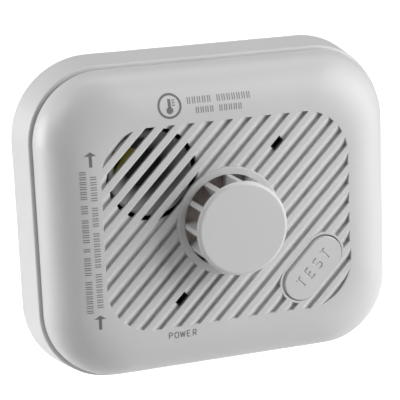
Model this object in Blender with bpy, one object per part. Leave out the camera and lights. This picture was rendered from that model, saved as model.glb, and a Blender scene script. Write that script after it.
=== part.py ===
"""Mains heat alarm on its slide-on mounting base.

Everything is modelled lying flat, in plan: local X runs across the alarm, local Y up it, and
local Z straight out of the wall. The empty "wall_frame" stands that plan up, so that in the
world +X is to the right, +Z is up, the front faces -Y and the flat back lies on the plane Y = 0
with its centre on the origin. Lengths are in metres.
"""

import math

import bmesh
import bpy
from mathutils import Matrix, Vector

# Overall form: outlines are half width, half height and corner radius, depths run out from the wall.
BASE_BACK = (0.07265, 0.0617, 0.0303)
BASE_RIM = (0.0700, 0.0593, 0.0274)
COVER_RIM = (0.06854, 0.05784, 0.0262)
PANEL = (0.0485, 0.0381, 0.0180)
BASE_DEPTH = 0.0160
BASE_EDGE = 0.0006
BASE_EDGE_SHARE = 0.94
BASE_FLOOR_SHARE = 0.1
COVER_START = 0.0163
FACE_DEPTH = 0.0341
GAP = 0.0003
CORNER_STEPS = 8
FACE_ROUNDNESS = 2.2
COVER_WALL = 0.0022
PANEL_THICKNESS = 0.0036
BASE_WALL = 0.0026
BACK_PLATE = 0.0022

# Ribbed panel: ribs run up to the right at 45 degrees.
RIB_PITCH = 0.005308
GROOVE_WIDTH = 0.0029
GROOVE_DEPTH = 0.0019
GROOVE_FOOT = 0.00035
GROOVE_NEAR_DEPTH = 0.0002
GROOVE_HALF_LENGTH = 0.0800
FIRST_GROOVE_OFFSET = -0.04619
GROOVES_WITH_LANDS = range(-1, 18)
GROOVES_BELOW_BUTTON = range(18, 20)
GROOVES_OVER_HORN = range(-1, 6)
TOOL_MARGIN = 0.0001
OVERRUN = 0.0010
ROOT_HALF = math.sqrt(0.5)
ACROSS_RIBS = Vector((ROOT_HALF, -ROOT_HALF, 0.0))
ALONG_RIBS = Vector((ROOT_HALF, ROOT_HALF, 0.0))
HORN_SLOT_WIDTH = 0.00244
RIB_BAR_THICKNESS = 0.0013

# Sensor guard in the middle of the panel.
GUARD_COLLAR_RADIUS = 0.0204
GUARD_LAND_RADIUS = 0.0206
GUARD_SEAT_RADIUS = 0.0183
GUARD_RADIUS = 0.0175
GUARD_BORE_RADIUS = 0.0176
GUARD_FIN_INNER_RADIUS = 0.0125
GUARD_FIN_THICKNESS = 0.0019
GUARD_FINS = 12
GUARD_COLLAR_RISE = 0.0003
GUARD_OPENING_HEIGHT = 0.0124
GUARD_CAP_THICKNESS = 0.0018
GUARD_CAP_FILLET = 0.0016
GUARD_FLANGE_THICKNESS = 0.0017
GUARD_TAIL = 0.0019
GUARD_FIN_STEP = 0.0003

# Horn, behind the round opening at the upper left.
HORN_CENTRE = (-0.02875, 0.0206)
HORN_OPENING_RADIUS = 0.01745
HORN_RADIUS = 0.0159
HORN_MOUTH_RADIUS = 0.0147
HORN_THROAT_RADIUS = 0.0070
HORN_BACK = 0.0186
HORN_FRONT = 0.0306
HORN_SEAT_RADIUS = 0.0140
HORN_SEAT_DEPTH = 0.0203
HORN_LIP = 0.0010
HORN_THROAT_LENGTH = 0.0007
HORN_NOTCH_REACH = (0.0128, 0.0180)
HORN_NOTCH_FLOOR = 0.0290
PIEZO_DISC = ((0.0136, 0.0196), (0.0136, 0.0200))
HORN_BACK_CAP = ((0.0137, HORN_BACK), (0.0137, 0.0193))
HORN_GAUZE = (0.0204, 0.0207)
HORN_GAUZE_RADIUS = 0.0068
LEAF_HALF_WIDTH = 0.0060
LEAF_HEADING = 147
LEAF_VIEW = (
    (0.0088, 0.0288), (0.0123, 0.0288), (0.0129, 0.0293), (0.0163, 0.0293), (0.0163, 0.0190),
    (0.0167, 0.0190), (0.0167, 0.0297), (0.0127, 0.0297), (0.0121, 0.0292), (0.0088, 0.0292),
)
LEAF_CARD = (0.0282, 0.0285)
LEAF_CARD_RADIUS = 0.0130
LEAF_CARD_CHORD = 0.0084
LEAF_CARD_HEADING = 135

# Test button at the lower right: a round-ended bar lying along the ribs.
BUTTON_LOW_END = (0.0280, -0.0276)
BUTTON_HIGH_END = (0.0380, -0.0176)
BUTTON_RADIUS = 0.0069
BUTTON_HOLE_RADIUS = 0.0072
BUTTON_LAND_RADIUS = 0.0084
BUTTON_LAND_SHIFT = (-0.0004, 0.0002)
BUTTON_MOAT_RADIUS = 0.0077
BUTTON_MOAT_SHIFT = (-0.00055, 0.0001)
BUTTON_MOAT_DEPTH = 0.0015
BUTTON_FLANGE_RADIUS = 0.0082
BUTTON_FLANGE = (0.0288, 0.0302)
BUTTON_EDGE = 0.0005
BUTTON_PIN_RADIUS = 0.0012
BUTTON_PIN = (0.0245, 0.0300)
SPRING_RADIUS = 0.0022
SPRING_WIRE_RADIUS = 0.00025
SPRING_TURNS = 4
SPRING_STEPS_PER_TURN = 12

# Indicator slots: each opens the floor of one groove.
ALARM_SLOT_ALONG = 0.0333
ALARM_SLOT_GROOVE = 8
POWER_SLOT_ALONG = -0.0335
POWER_SLOT_GROOVE = 10
SLOT_LENGTH = 0.0053
SLOT_WIDTH = 0.0027
SHROUD_RADIUS = 0.0030
SHROUD_WALL = 0.0007
SHROUD_TOP = 0.0302
SHROUD_NOSE_TOP = 0.0332
SHROUD_NOSE_GAP = 0.0001
SHROUD_NOSE_WALL = 0.0004

# Rear case, the hooks it slides on and its screws.
REAR_CASE_FLOOR = (0.0164, 0.0182)
REAR_CASE_WALL = 0.0016
REAR_CASE_WALL_TOP = 0.0225
REAR_CASE_TAPER = 0.0018
POCKET_ROOT = 0.0004
PAD_ROOT = 0.0006
SLIDE_TRAVEL = 0.0200
HOOK_X = 0.0580
HOOK_SPANS = ((0.0240, 0.0300), (-0.0140, -0.0080))
HOOK_NECK_HALF = 0.0015
HOOK_HEAD_HALF = 0.0035
HOOK_HEAD = (0.0186, 0.0200)
HOOK_WEB_SETBACK = 0.0010
HOOK_WEB_DEPTH = (0.0010, BASE_DEPTH - 0.0004)
HOOK_NECK_DEPTH = (0.0100, HOOK_HEAD[0] + 0.0004)
KEYHOLE_CLEARANCE = 0.0005
CASE_SCREWS = ((-0.0560, 0.0395), (0.0560, 0.0395), (-0.0560, -0.0398), (0.0560, -0.0398))
BOSS_RADIUS = 0.0032
BOSS_START = 0.0205
BOSS_TOP = FACE_DEPTH - 0.0055
BOSS_HOLE_RADIUS = 0.0016
BOSS_HOLE = (0.0190, 0.0272)
CASE_POST_RADIUS = 0.0042
CASE_POST_START = 0.0170
COUNTERBORE_RADIUS = 0.0030
COUNTERBORE_END = 0.0184
CLEAR_HOLE_RADIUS = 0.0017
CLEAR_HOLE_END = 0.0220
SCREW_HEAD_SEAT = 0.0181
BELOW_CASE = 0.0150
CASE_FLOOR_CUT = (BELOW_CASE, 0.0190)

# Electronics.
SENSOR_BOARD_RADIUS = 0.0172
SENSOR_BOARD_BORE = 0.0039
SENSOR_BOARD = (0.0290, 0.0304)
BOARD = (0.0190, 0.0206)
BOARD_FRONT_GAP = BOARD[1] + GAP
BOARD_PADS = ((-0.0460, -0.0020), (0.0180, 0.0380), (-0.0440, -0.0420), (0.0460, -0.0420))
BOARD_PAD_RADIUS = 0.0020
BOARD_OUTLINE = (
    (-0.0500, -0.0460), (0.0500, -0.0460), (0.0500, -0.0196), (0.0222, -0.0196),
    (0.0222, 0.0420), (-0.0090, 0.0420), (-0.0090, 0.0024), (-0.0500, 0.0024),
)
SWITCH_HALF_WIDTH = 0.0030
SWITCH_SHIFT = -0.0004
SWITCH_TOP = 0.0246
PLUNGER_RADIUS = 0.0017
PLUNGER = (0.0240, 0.0268)
CHIP = ((-0.0010, 0.0090), (-0.0300, -0.0236))
CHIP_TOP = 0.0242
MAINS_CAPACITOR = ((-0.0470, -0.0290), (-0.0440, -0.0360))
MAINS_CAPACITOR_TOP = 0.0290
MAINS_CAPACITOR_EDGE = 0.0006
CAN_XS = (-0.0440, -0.0340)
CAN_Y = -0.0200
CAN = ((0.0032, 0.0), (0.0040, 0.0006), (0.0040, 0.0070), (0.0036, 0.0076))
VARISTOR = ((0.0030, 0.0), (0.0036, 0.0010), (0.0030, 0.0022))
VARISTOR_CENTRE = (-0.0440, -0.0060, BOARD_FRONT_GAP + 0.0037)
LED = (
    (0.0017, BOARD_FRONT_GAP), (0.0017, 0.0219), (0.0015, 0.0219), (0.0015, 0.0246),
    (0.0011, 0.0257), (0.0004, 0.0261),
)
THERMISTOR_HOLDER = (
    (0.0060, BOARD_FRONT_GAP), (0.0060, SENSOR_BOARD[0] - GAP),
    (0.0036, SENSOR_BOARD[0] - GAP), (0.0030, 0.0340),
)
THERMISTOR_BEAD = (
    (0.0004, 0.0404), (0.0011, 0.0409), (0.0014, 0.0418), (0.0011, 0.0427), (0.0004, 0.0432),
)
THERMISTOR_LEAD = ((0.0003, 0.0343), (0.0003, 0.0401))
THERMISTOR_LEAD_XS = (-0.0009, 0.0009)
BATTERY_X = (0.0252, 0.0517)
BATTERY_Z = (-0.0170, 0.0287)
BATTERY_DEPTH = (0.0077, 0.0252)
BATTERY_EDGE = 0.0012
BATTERY_STUD_LENGTH = 0.0028
BATTERY_STUD_OFFSET = 0.0064
POSITIVE_STUD_RADIUS = 0.0028
NEGATIVE_STUD_RADIUS = 0.0039
BATTERY_CONTACT_HALF_WIDTH = 0.0045
BATTERY_CONTACT = (0.0004, 0.0009)
BATTERY_CONTACT_TOP = 0.0250
POCKET_WALL = 0.0013
POCKET_CLEARANCE = 0.0004
POCKET_CONTACT_SPACE = 0.0014

# Mains connection.
TERMINAL_X = (-0.0440, -0.0040)
TERMINAL_Z = (-0.0230, -0.0060)
TERMINAL_DEPTH = (BACK_PLATE + GAP, 0.0129)
POLES = ("live", "neutral", "link")
SOCKET_XS = (-0.0340, -0.0240, -0.0140)
TERMINAL_SCREW_XS = (-0.0390, -0.0290, -0.0190, -0.0090)
TERMINAL_SCREW_Z = -0.0184
TERMINAL_SCREW_FOOT = 0.0079
SOCKET_HALF_WIDTH = 0.0028
SOCKET_LENGTH = 0.0105
SOCKET_DEPTH = (0.0089, 0.0121)
SCREW_WELL_RADIUS = 0.0025
SCREW_WELL = (0.0096, 0.0150)
WIRE_ENTRY_HALF_WIDTH = 0.0017
WIRE_ENTRY_LENGTH = 0.0070
WIRE_ENTRY_DEPTH = (0.0042, 0.0076)
SHANK_HOLE_RADIUS = 0.0014
SHANK_HOLE = (0.0060, 0.0110)
SOCKET_CLIP_HALF_WIDTH = 0.0023
SOCKET_CLIP_SETBACK = 0.0004
SOCKET_CLIP_VIEW = (
    (0.0, 0.0092), (0.0, 0.0096), (-0.0090, 0.0096), (-0.0090, 0.0114),
    (0.0, 0.0114), (0.0, 0.0118), (-0.0094, 0.0118), (-0.0094, 0.0092),
)
BLADE_DEPTH = (0.0101, 0.0109)
BLADE_HALF_WIDTH = 0.0020
BLADE_VIEW = (
    (0.0004, 0.0187), (0.0004, BLADE_DEPTH[0]), (-0.0130, BLADE_DEPTH[0]),
    (-0.0130, BLADE_DEPTH[1]), (-0.0004, BLADE_DEPTH[1]), (-0.0004, 0.0187),
)
BLADE_HOLE_HALF = (0.0024, 0.0008)
BLADE_WINDOW_REACH = 0.0032
BLADE_WINDOW_HALF_HEIGHT = 0.0012
CARRIER_REACH = 0.0060
CARRIER_HALF_HEIGHT = 0.0040
CARRIER_DEPTH = (0.0113, 0.0161)
CABLE_ENTRY = ((-0.0400, -0.0120), (-0.0400, -0.0290))
POST_ROOT = 0.0010
POST_HOLE_RADIUS = 0.0016
COVER_POST = (-0.0060, -0.0360)
COVER_POST_RADIUS = 0.0030
COVER_POST_TOP = 0.0129
COVER_SCREW_FOOT = 0.0089
CLAMP_POSTS = ((-0.0430, -0.0258), (-0.0090, -0.0258))
CLAMP_POST_RADIUS = 0.0026
CLAMP_POST_TOP = 0.0060
CLAMP_SCREW_FOOT = 0.0032
TERMINAL_COVER = ((-0.0455, -0.0025), (-0.0415, -0.0130))
TERMINAL_COVER_DEPTH = (0.0132, 0.0146)
TERMINAL_SKIRT = ((-0.0455, -0.0440), (-0.0415, -0.0290))
TERMINAL_SKIRT_TOP = 0.0140
CABLE_CLAMP = ((-0.0454, -0.0064), (-0.0284, -0.0232))
CABLE_CLAMP_DEPTH = (0.0063, 0.0079)

# Screws: head radius, head height, shank radius and shank length.
TERMINAL_SCREW = (0.0022, 0.0016, 0.0011, 0.0025)
COVER_SCREW = (0.0024, 0.0006, 0.0012, 0.0060)
CLAMP_SCREW = (0.0022, 0.0012, 0.0012, 0.0050)
CASE_SCREW = (0.0026, 0.0014, 0.0013, 0.0085)

# Release clip at the bottom edge.
CLIP_PIVOT = (-0.0500, 0.0080)
CLIP_HALF_WIDTH = 0.0060
CLIP_VIEW = (
    (-0.0104, -0.0010), (-0.0104, 0.0010), (-0.0024, 0.0012), (-0.0010, 0.0026),
    (0.0040, 0.0070), (0.0070, 0.0078), (0.0070, 0.0052), (0.0050, 0.0046),
    (0.0024, 0.0016), (0.0024, -0.0016), (-0.0014, -0.0026),
)
CLIP_PIN_RADIUS = 0.0010
CLIP_PIN_HALF_LENGTH = 0.0092
CLIP_BORE_HALF_LENGTH = 0.0120
CLIP_LUG_GAP = 0.0006
CLIP_LUG_WIDTH = 0.0028
CLIP_LUG_HALF = 0.0026
CLIP_WINDOW = ((-0.0066, 0.0066), (-0.0640, -0.0560))
CLIP_WINDOW_DEPTH = (0.0050, 0.0120)

# Slots in the back that hang the alarm on two wall screws.
WALL_SLOT_XS = (0.0090, 0.0150)
WALL_SLOT_YS = (0.0340, -0.0263)
WALL_SLOT_RADIUS = 0.0022
THROUGH_BACK = (-0.0010, 0.0040)


# ---------------------------------------------------------------- outlines, in plan


def rounded_rectangle(half_width, half_height, radius, steps=CORNER_STEPS):
    corners = ((1, 1, 0), (-1, 1, 90), (-1, -1, 180), (1, -1, 270))
    points = []
    for side_x, side_y, start in corners:
        centre_x = side_x * (half_width - radius)
        centre_y = side_y * (half_height - radius)
        for step in range(steps + 1):
            angle = math.radians(start + 90 * step / steps)
            points.append((centre_x + radius * math.cos(angle), centre_y + radius * math.sin(angle)))
    return points


def circle(radius, steps, centre=(0.0, 0.0)):
    turn = 2 * math.pi / steps
    return [
        (centre[0] + radius * math.cos(i * turn), centre[1] + radius * math.sin(i * turn))
        for i in range(steps)
    ]


def stadium(low_end, high_end, radius, steps=10):
    """A round-ended bar between two centres."""
    heading = math.atan2(high_end[1] - low_end[1], high_end[0] - low_end[0])
    points = []
    for centre, start in ((high_end, heading - math.pi / 2), (low_end, heading + math.pi / 2)):
        for step in range(steps + 1):
            angle = start + math.pi * step / steps
            points.append((centre[0] + radius * math.cos(angle), centre[1] + radius * math.sin(angle)))
    return points


def rectangle(span_x, span_y):
    return [
        (span_x[0], span_y[0]),
        (span_x[1], span_y[0]),
        (span_x[1], span_y[1]),
        (span_x[0], span_y[1]),
    ]


def segment(radius, chord_distance, heading, steps=12):
    """The part of a disc beyond a chord, facing the given heading in degrees."""
    half_angle = math.degrees(math.acos(chord_distance / radius))
    points = []
    for step in range(steps + 1):
        angle = math.radians(heading - half_angle + 2 * half_angle * step / steps)
        points.append((radius * math.cos(angle), radius * math.sin(angle)))
    return points


def along_rib_rectangle(along, across, length, width):
    """A rectangle lying along the ribs, centred on the given distances along and across them."""
    points = []
    for sign_along, sign_across in ((-1, -1), (-1, 1), (1, 1), (1, -1)):
        point = ALONG_RIBS * (along + sign_along * length / 2)
        point += ACROSS_RIBS * (across + sign_across * width / 2)
        points.append((point.x, point.y))
    return points


# ---------------------------------------------------------------- meshes


def finish_mesh(name, shape):
    bmesh.ops.recalc_face_normals(shape, faces=shape.faces)
    mesh = bpy.data.meshes.new(name)
    shape.to_mesh(mesh)
    shape.free()
    return mesh


def add_loft(shape, rings, closed):
    rows = [[shape.verts.new(point) for point in ring] for ring in rings]
    pairs = list(zip(rows, rows[1:]))
    if closed:
        pairs.append((rows[-1], rows[0]))
    for lower, upper in pairs:
        for i, vertex in enumerate(lower):
            j = (i + 1) % len(lower)
            shape.faces.new((vertex, lower[j], upper[j], upper[i]))
    if not closed:
        shape.faces.new(list(reversed(rows[0])))
        shape.faces.new(rows[-1])


def loft(name, rings, closed=False):
    """Skin over a list of rings: capped at both ends, or closed back on itself like a tyre."""
    shape = bmesh.new()
    add_loft(shape, rings, closed)
    return finish_mesh(name, shape)


def lifted(outline, height):
    return [(x, y, height) for x, y in outline]


def prism(name, outline, low, high):
    return loft(name, [lifted(outline, low), lifted(outline, high)])


def prisms(name, parts):
    """Several separate prisms in one mesh, each given as outline, low and high."""
    shape = bmesh.new()
    for outline, low, high in parts:
        add_loft(shape, [lifted(outline, low), lifted(outline, high)], False)
    return finish_mesh(name, shape)


def tube(name, outer, inner, low, high):
    rings = [lifted(outer, low), lifted(outer, high), lifted(inner, high), lifted(inner, low)]
    return loft(name, rings, closed=True)


def extruded(name, view, half_width, shift=(0.0, 0.0)):
    """A side view of distances up and out, carried across the part to both sides of its middle."""
    rings = [
        [(shift[0] + side * half_width, shift[1] + y, depth) for y, depth in view]
        for side in (-1, 1)
    ]
    return loft(name, rings)


def cross_pin(name, radius, half_length):
    """A round bar lying across the part."""
    pin = prism(name, circle(radius, 16), -half_length, half_length)
    pin.transform(Matrix.Rotation(math.pi / 2, 4, "Y"))
    return pin


def turned(name, profile, steps, centre=(0.0, 0.0), closed=False):
    """A turned piece; the profile is a list of radius and height."""
    rings = [lifted(circle(radius, steps, centre), height) for radius, height in profile]
    return loft(name, rings, closed)


# ---------------------------------------------------------------- objects


def make_material(name, colour, roughness, metallic=0.0):
    material = bpy.data.materials.new(name)
    material.use_nodes = True
    shader = material.node_tree.nodes["Principled BSDF"]
    shader.inputs["Base Color"].default_value = (*colour, 1.0)
    shader.inputs["Roughness"].default_value = roughness
    shader.inputs["Metallic"].default_value = metallic
    return material


def make_materials():
    return {
        "shell": make_material("white_shell", (0.72, 0.72, 0.71), 0.45),
        "base": make_material("white_base", (0.74, 0.74, 0.73), 0.45),
        "inner": make_material("grey_inner_plastic", (0.30, 0.30, 0.30), 0.55),
        "black": make_material("black_plastic", (0.02, 0.02, 0.02), 0.50),
        "board": make_material("brown_board", (0.22, 0.13, 0.08), 0.60),
        "brass": make_material("brass", (0.55, 0.44, 0.14), 0.35, 1.0),
        "steel": make_material("plated_steel", (0.62, 0.62, 0.60), 0.30, 1.0),
        "block": make_material("cream_terminal_plastic", (0.60, 0.56, 0.46), 0.50),
        "red": make_material("red_lens", (0.55, 0.03, 0.02), 0.20),
        "green": make_material("green_lens", (0.05, 0.45, 0.08), 0.20),
        "capacitor": make_material("capacitor_sleeve", (0.05, 0.08, 0.20), 0.35),
        "resin": make_material("yellow_resin", (0.60, 0.42, 0.05), 0.45),
        "battery": make_material("battery_jacket", (0.10, 0.11, 0.12), 0.35),
    }


def add_empty(name, parent=None, location=(0.0, 0.0, 0.0), rotation=(0.0, 0.0, 0.0)):
    empty = bpy.data.objects.new(name, None)
    bpy.context.collection.objects.link(empty)
    empty.parent = parent
    empty.location = location
    empty.rotation_euler = rotation
    return empty


def add_piece(name, mesh, parent, material, location=(0.0, 0.0, 0.0), smooth=True):
    piece = bpy.data.objects.new(name, mesh)
    bpy.context.collection.objects.link(piece)
    piece.parent = parent
    piece.location = location
    if not mesh.materials:
        mesh.materials.append(material)
    if smooth:
        mesh.shade_smooth()
        mesh.set_sharp_from_angle(angle=math.radians(35))
    return piece


def add_cutter(mesh, parent, location=(0.0, 0.0, 0.0)):
    cutter = bpy.data.objects.new("cutter_" + mesh.name, mesh)
    bpy.context.collection.objects.link(cutter)
    cutter.parent = parent
    cutter.location = location
    cutter.hide_render = True
    cutter.display_type = "WIRE"
    return cutter


def combine(piece, operation, other):
    modifier = piece.modifiers.new(operation.lower() + "_" + other.name, "BOOLEAN")
    modifier.operation = operation
    modifier.solver = "EXACT"
    modifier.object = other


def cut(piece, mesh, parent, location=(0.0, 0.0, 0.0)):
    combine(piece, "DIFFERENCE", add_cutter(mesh, parent, location))


def fuse(piece, mesh, parent, location=(0.0, 0.0, 0.0)):
    combine(piece, "UNION", add_cutter(mesh, parent, location))


def add_bevel(piece, width, segments=2):
    bevel = piece.modifiers.new("edge_round", "BEVEL")
    bevel.width = width
    bevel.segments = segments
    bevel.limit_method = "ANGLE"
    bevel.angle_limit = math.radians(50)


def evaluated_mesh(piece):
    """The piece's mesh with its modifiers applied; the piece and its cutters are then removed."""
    bpy.context.view_layer.update()
    graph = bpy.context.evaluated_depsgraph_get()
    mesh = bpy.data.meshes.new_from_object(piece.evaluated_get(graph))
    tools = [modifier.object for modifier in piece.modifiers if modifier.type == "BOOLEAN"]
    for item in [piece, *tools]:
        bpy.data.objects.remove(item)
    return mesh


def screw_mesh(name, head_radius, head_height, shank_radius, shank_length):
    """Slotted pan-head screw standing on its shank: the shank's end is at height 0."""
    top = shank_length + head_height
    profile = [
        (shank_radius * 0.55, 0.0),
        (shank_radius, shank_radius),
        (shank_radius, shank_length),
        (head_radius, shank_length),
        (head_radius, shank_length + head_height * 0.45),
        (head_radius * 0.7, top),
    ]
    blank = bpy.data.objects.new(name, turned(name, profile, 16))
    bpy.context.collection.objects.link(blank)
    slot = rectangle((-head_radius * 1.2, head_radius * 1.2), (-head_radius * 0.16, head_radius * 0.16))
    cut(blank, prism(name + "_slot", slot, top - head_height * 0.5, top + head_height), None)
    return evaluated_mesh(blank)


# ---------------------------------------------------------------- mounting base


def interpolate(low, high, share):
    return [a + (b - a) * share for a, b in zip(low, high)]


def inset(outline, amount):
    half_width, half_height, radius = outline
    return (half_width - amount, half_height - amount, radius - amount)


def base_shell_mesh():
    """Shallow open tray: the side wall leans in towards the front, with a rounded front edge."""
    near_rim = interpolate(BASE_BACK, BASE_RIM, BASE_EDGE_SHARE)
    outer = (
        (inset(BASE_BACK, BASE_EDGE), 0.0),
        (BASE_BACK, BASE_EDGE),
        (near_rim, BASE_DEPTH - BASE_EDGE),
        (inset(BASE_RIM, BASE_EDGE), BASE_DEPTH),
    )
    inner_floor = inset(interpolate(BASE_BACK, BASE_RIM, BASE_FLOOR_SHARE), BASE_WALL)
    inner = ((inset(BASE_RIM, BASE_WALL), BASE_DEPTH), (inner_floor, BACK_PLATE))
    rings = [lifted(rounded_rectangle(*outline), depth) for outline, depth in (*outer, *inner)]
    return loft("base_shell", rings)


def hook_parts(side):
    """Webs from the side wall, necks and T-shaped heads of the two hooks on one side."""
    parts = []
    for low, high in HOOK_SPANS:
        web_x = (HOOK_X - HOOK_NECK_HALF, BASE_RIM[0] - HOOK_WEB_SETBACK)
        neck_x = (HOOK_X - HOOK_NECK_HALF, HOOK_X + HOOK_NECK_HALF)
        head_x = (HOOK_X - HOOK_HEAD_HALF, HOOK_X + HOOK_HEAD_HALF)
        for span, depths in (
            (web_x, HOOK_WEB_DEPTH),
            (neck_x, HOOK_NECK_DEPTH),
            (head_x, HOOK_HEAD),
        ):
            x_span = sorted(side * x for x in span)
            parts.append((rectangle(x_span, (low, high)), *depths))
    return parts


def build_base(frame, materials):
    base = add_piece("mounting_base", base_shell_mesh(), frame, materials["base"])
    for side, label in ((-1, "left"), (1, "right")):
        for index, part in enumerate(hook_parts(side)):
            fuse(base, prism(f"hook_{label}_{index}", *part), frame)

    posts = [("cover_post", COVER_POST, COVER_POST_RADIUS, COVER_POST_TOP)]
    for index, centre in enumerate(CLAMP_POSTS, 1):
        posts.append((f"clamp_post_{index}", centre, CLAMP_POST_RADIUS, CLAMP_POST_TOP))
    for label, centre, radius, height in posts:
        hole = prism(label + "_hole", circle(POST_HOLE_RADIUS, 12, centre), BACK_PLATE, height + OVERRUN)
        fuse(base, prism(label, circle(radius, 16, centre), POST_ROOT, height), frame)
        cut(base, hole, frame)

    pivot_y, pivot_depth = CLIP_PIVOT
    for side in (-1, 1):
        lug_start = CLIP_HALF_WIDTH + CLIP_LUG_GAP
        span_x = sorted((side * lug_start, side * (lug_start + CLIP_LUG_WIDTH)))
        lug = rectangle(span_x, (pivot_y - CLIP_LUG_HALF, pivot_y + CLIP_LUG_HALF))
        fuse(base, prism(f"clip_lug_{side}", lug, POST_ROOT, pivot_depth + CLIP_LUG_HALF), frame)
    pin_hole = cross_pin("clip_pin_hole", CLIP_PIN_RADIUS + GAP, CLIP_BORE_HALF_LENGTH)
    cut(base, pin_hole, frame, (0.0, pivot_y, pivot_depth))

    cut(base, prism("cable_entry", rectangle(*CABLE_ENTRY), *THROUGH_BACK), frame)
    for slot_y in WALL_SLOT_YS:
        slot = stadium(*[(x, slot_y) for x in WALL_SLOT_XS], WALL_SLOT_RADIUS, 6)
        cut(base, prism("wall_screw_slot", slot, *THROUGH_BACK), frame)
    cut(base, prism("clip_window", rectangle(*CLIP_WINDOW), *CLIP_WINDOW_DEPTH), frame)


def build_terminals(frame, materials):
    outline = rectangle(TERMINAL_X, TERMINAL_Z)
    block = add_piece("terminal_block", prism("terminal_block", outline, *TERMINAL_DEPTH), frame,
                      materials["block"])
    low_edge, high_edge = TERMINAL_Z
    sockets = []
    for x in SOCKET_XS:
        span_x = (x - SOCKET_HALF_WIDTH, x + SOCKET_HALF_WIDTH)
        sockets.append((rectangle(span_x, (high_edge - SOCKET_LENGTH, high_edge + OVERRUN)), *SOCKET_DEPTH))
    cut(block, prisms("sockets", sockets), frame)
    entries = []
    for x in TERMINAL_SCREW_XS:
        span_x = (x - WIRE_ENTRY_HALF_WIDTH, x + WIRE_ENTRY_HALF_WIDTH)
        entries.append((rectangle(span_x, (low_edge - OVERRUN, low_edge + WIRE_ENTRY_LENGTH)),
                        *WIRE_ENTRY_DEPTH))
    screw_centres = [(x, TERMINAL_SCREW_Z) for x in TERMINAL_SCREW_XS]
    wells = [(circle(SCREW_WELL_RADIUS, 16, centre), *SCREW_WELL) for centre in screw_centres]
    shank_holes = [(circle(SHANK_HOLE_RADIUS, 12, centre), *SHANK_HOLE) for centre in screw_centres]
    cut(block, prisms("screw_wells", wells), frame)
    cut(block, prisms("wire_entries", entries), frame)
    cut(block, prisms("shank_holes", shank_holes), frame)

    terminal_screw = screw_mesh("terminal_screw", *TERMINAL_SCREW)
    for index, centre in enumerate(screw_centres, 1):
        add_piece(f"terminal_screw_{index}", terminal_screw, frame, materials["steel"],
                  (*centre, TERMINAL_SCREW_FOOT))

    for label, x in zip(POLES, SOCKET_XS):
        clip = extruded(f"socket_clip_{label}", SOCKET_CLIP_VIEW, SOCKET_CLIP_HALF_WIDTH,
                        (x, high_edge - SOCKET_CLIP_SETBACK))
        add_piece(f"socket_clip_{label}", clip, frame, materials["brass"])

    plate = prism("terminal_cover", rectangle(*TERMINAL_COVER), *TERMINAL_COVER_DEPTH)
    cover = add_piece("terminal_cover", plate, frame, materials["inner"])
    cover_hole = circle(POST_HOLE_RADIUS, 12, COVER_POST)
    cut(cover, prism("cover_screw_hole", cover_hole, TERMINAL_COVER_DEPTH[0] - OVERRUN,
                     TERMINAL_COVER_DEPTH[1] + OVERRUN), frame)
    skirt = rectangle(*TERMINAL_SKIRT)
    fuse(cover, prism("cover_skirt", skirt, BACK_PLATE + GAP, TERMINAL_SKIRT_TOP), frame)
    add_piece("terminal_cover_screw", screw_mesh("small_screw", *COVER_SCREW), frame,
              materials["steel"], (*COVER_POST, COVER_SCREW_FOOT))

    strap = prism("cable_clamp", rectangle(*CABLE_CLAMP), *CABLE_CLAMP_DEPTH)
    clamp = add_piece("cable_clamp", strap, frame, materials["inner"])
    for centre in CLAMP_POSTS:
        hole = prism("clamp_screw_hole", circle(POST_HOLE_RADIUS, 12, centre),
                     CABLE_CLAMP_DEPTH[0] - OVERRUN, CABLE_CLAMP_DEPTH[1] + OVERRUN)
        cut(clamp, hole, frame)
    clamp_screw = screw_mesh("clamp_screw", *CLAMP_SCREW)
    for index, centre in enumerate(CLAMP_POSTS, 1):
        add_piece(f"cable_clamp_screw_{index}", clamp_screw, frame, materials["steel"],
                  (*centre, CLAMP_SCREW_FOOT))


def build_release_clip(frame, materials):
    """A lever on a cross pin: a finger tab through the bottom wall and a nose towards the head."""
    axis = add_empty("release_clip_axis", frame, (0.0, *CLIP_PIVOT))
    clip = add_piece("release_clip", extruded("release_clip", CLIP_VIEW, CLIP_HALF_WIDTH), axis,
                     materials["base"])
    cut(clip, cross_pin("clip_bore", CLIP_PIN_RADIUS + GAP, CLIP_BORE_HALF_LENGTH), axis)
    add_piece("clip_pin", cross_pin("clip_pin", CLIP_PIN_RADIUS, CLIP_PIN_HALF_LENGTH), frame,
              materials["steel"], (0.0, *CLIP_PIVOT))


# ---------------------------------------------------------------- head: front cover and guard


def shell_rings(face_outline, rim_outline, face_depth, rim_depth, steps):
    """Rings from the flat face down to the rim, along a quarter of a superellipse."""
    rings = []
    power = 2 / FACE_ROUNDNESS
    for step in range(steps + 1):
        angle = math.pi / 2 * step / steps
        outward = math.sin(angle) ** power
        fallen = 1 - math.cos(angle) ** power
        outline = interpolate(face_outline, rim_outline, outward)
        depth = face_depth + (rim_depth - face_depth) * fallen
        rings.append(lifted(rounded_rectangle(*outline), depth))
    return rings


def cover_mesh():
    outer = shell_rings(PANEL, COVER_RIM, FACE_DEPTH, COVER_START, 8)
    inner = shell_rings(PANEL, inset(COVER_RIM, COVER_WALL), FACE_DEPTH - PANEL_THICKNESS,
                        COVER_START, 6)
    return loft("front_cover", outer + list(reversed(inner)))


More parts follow.
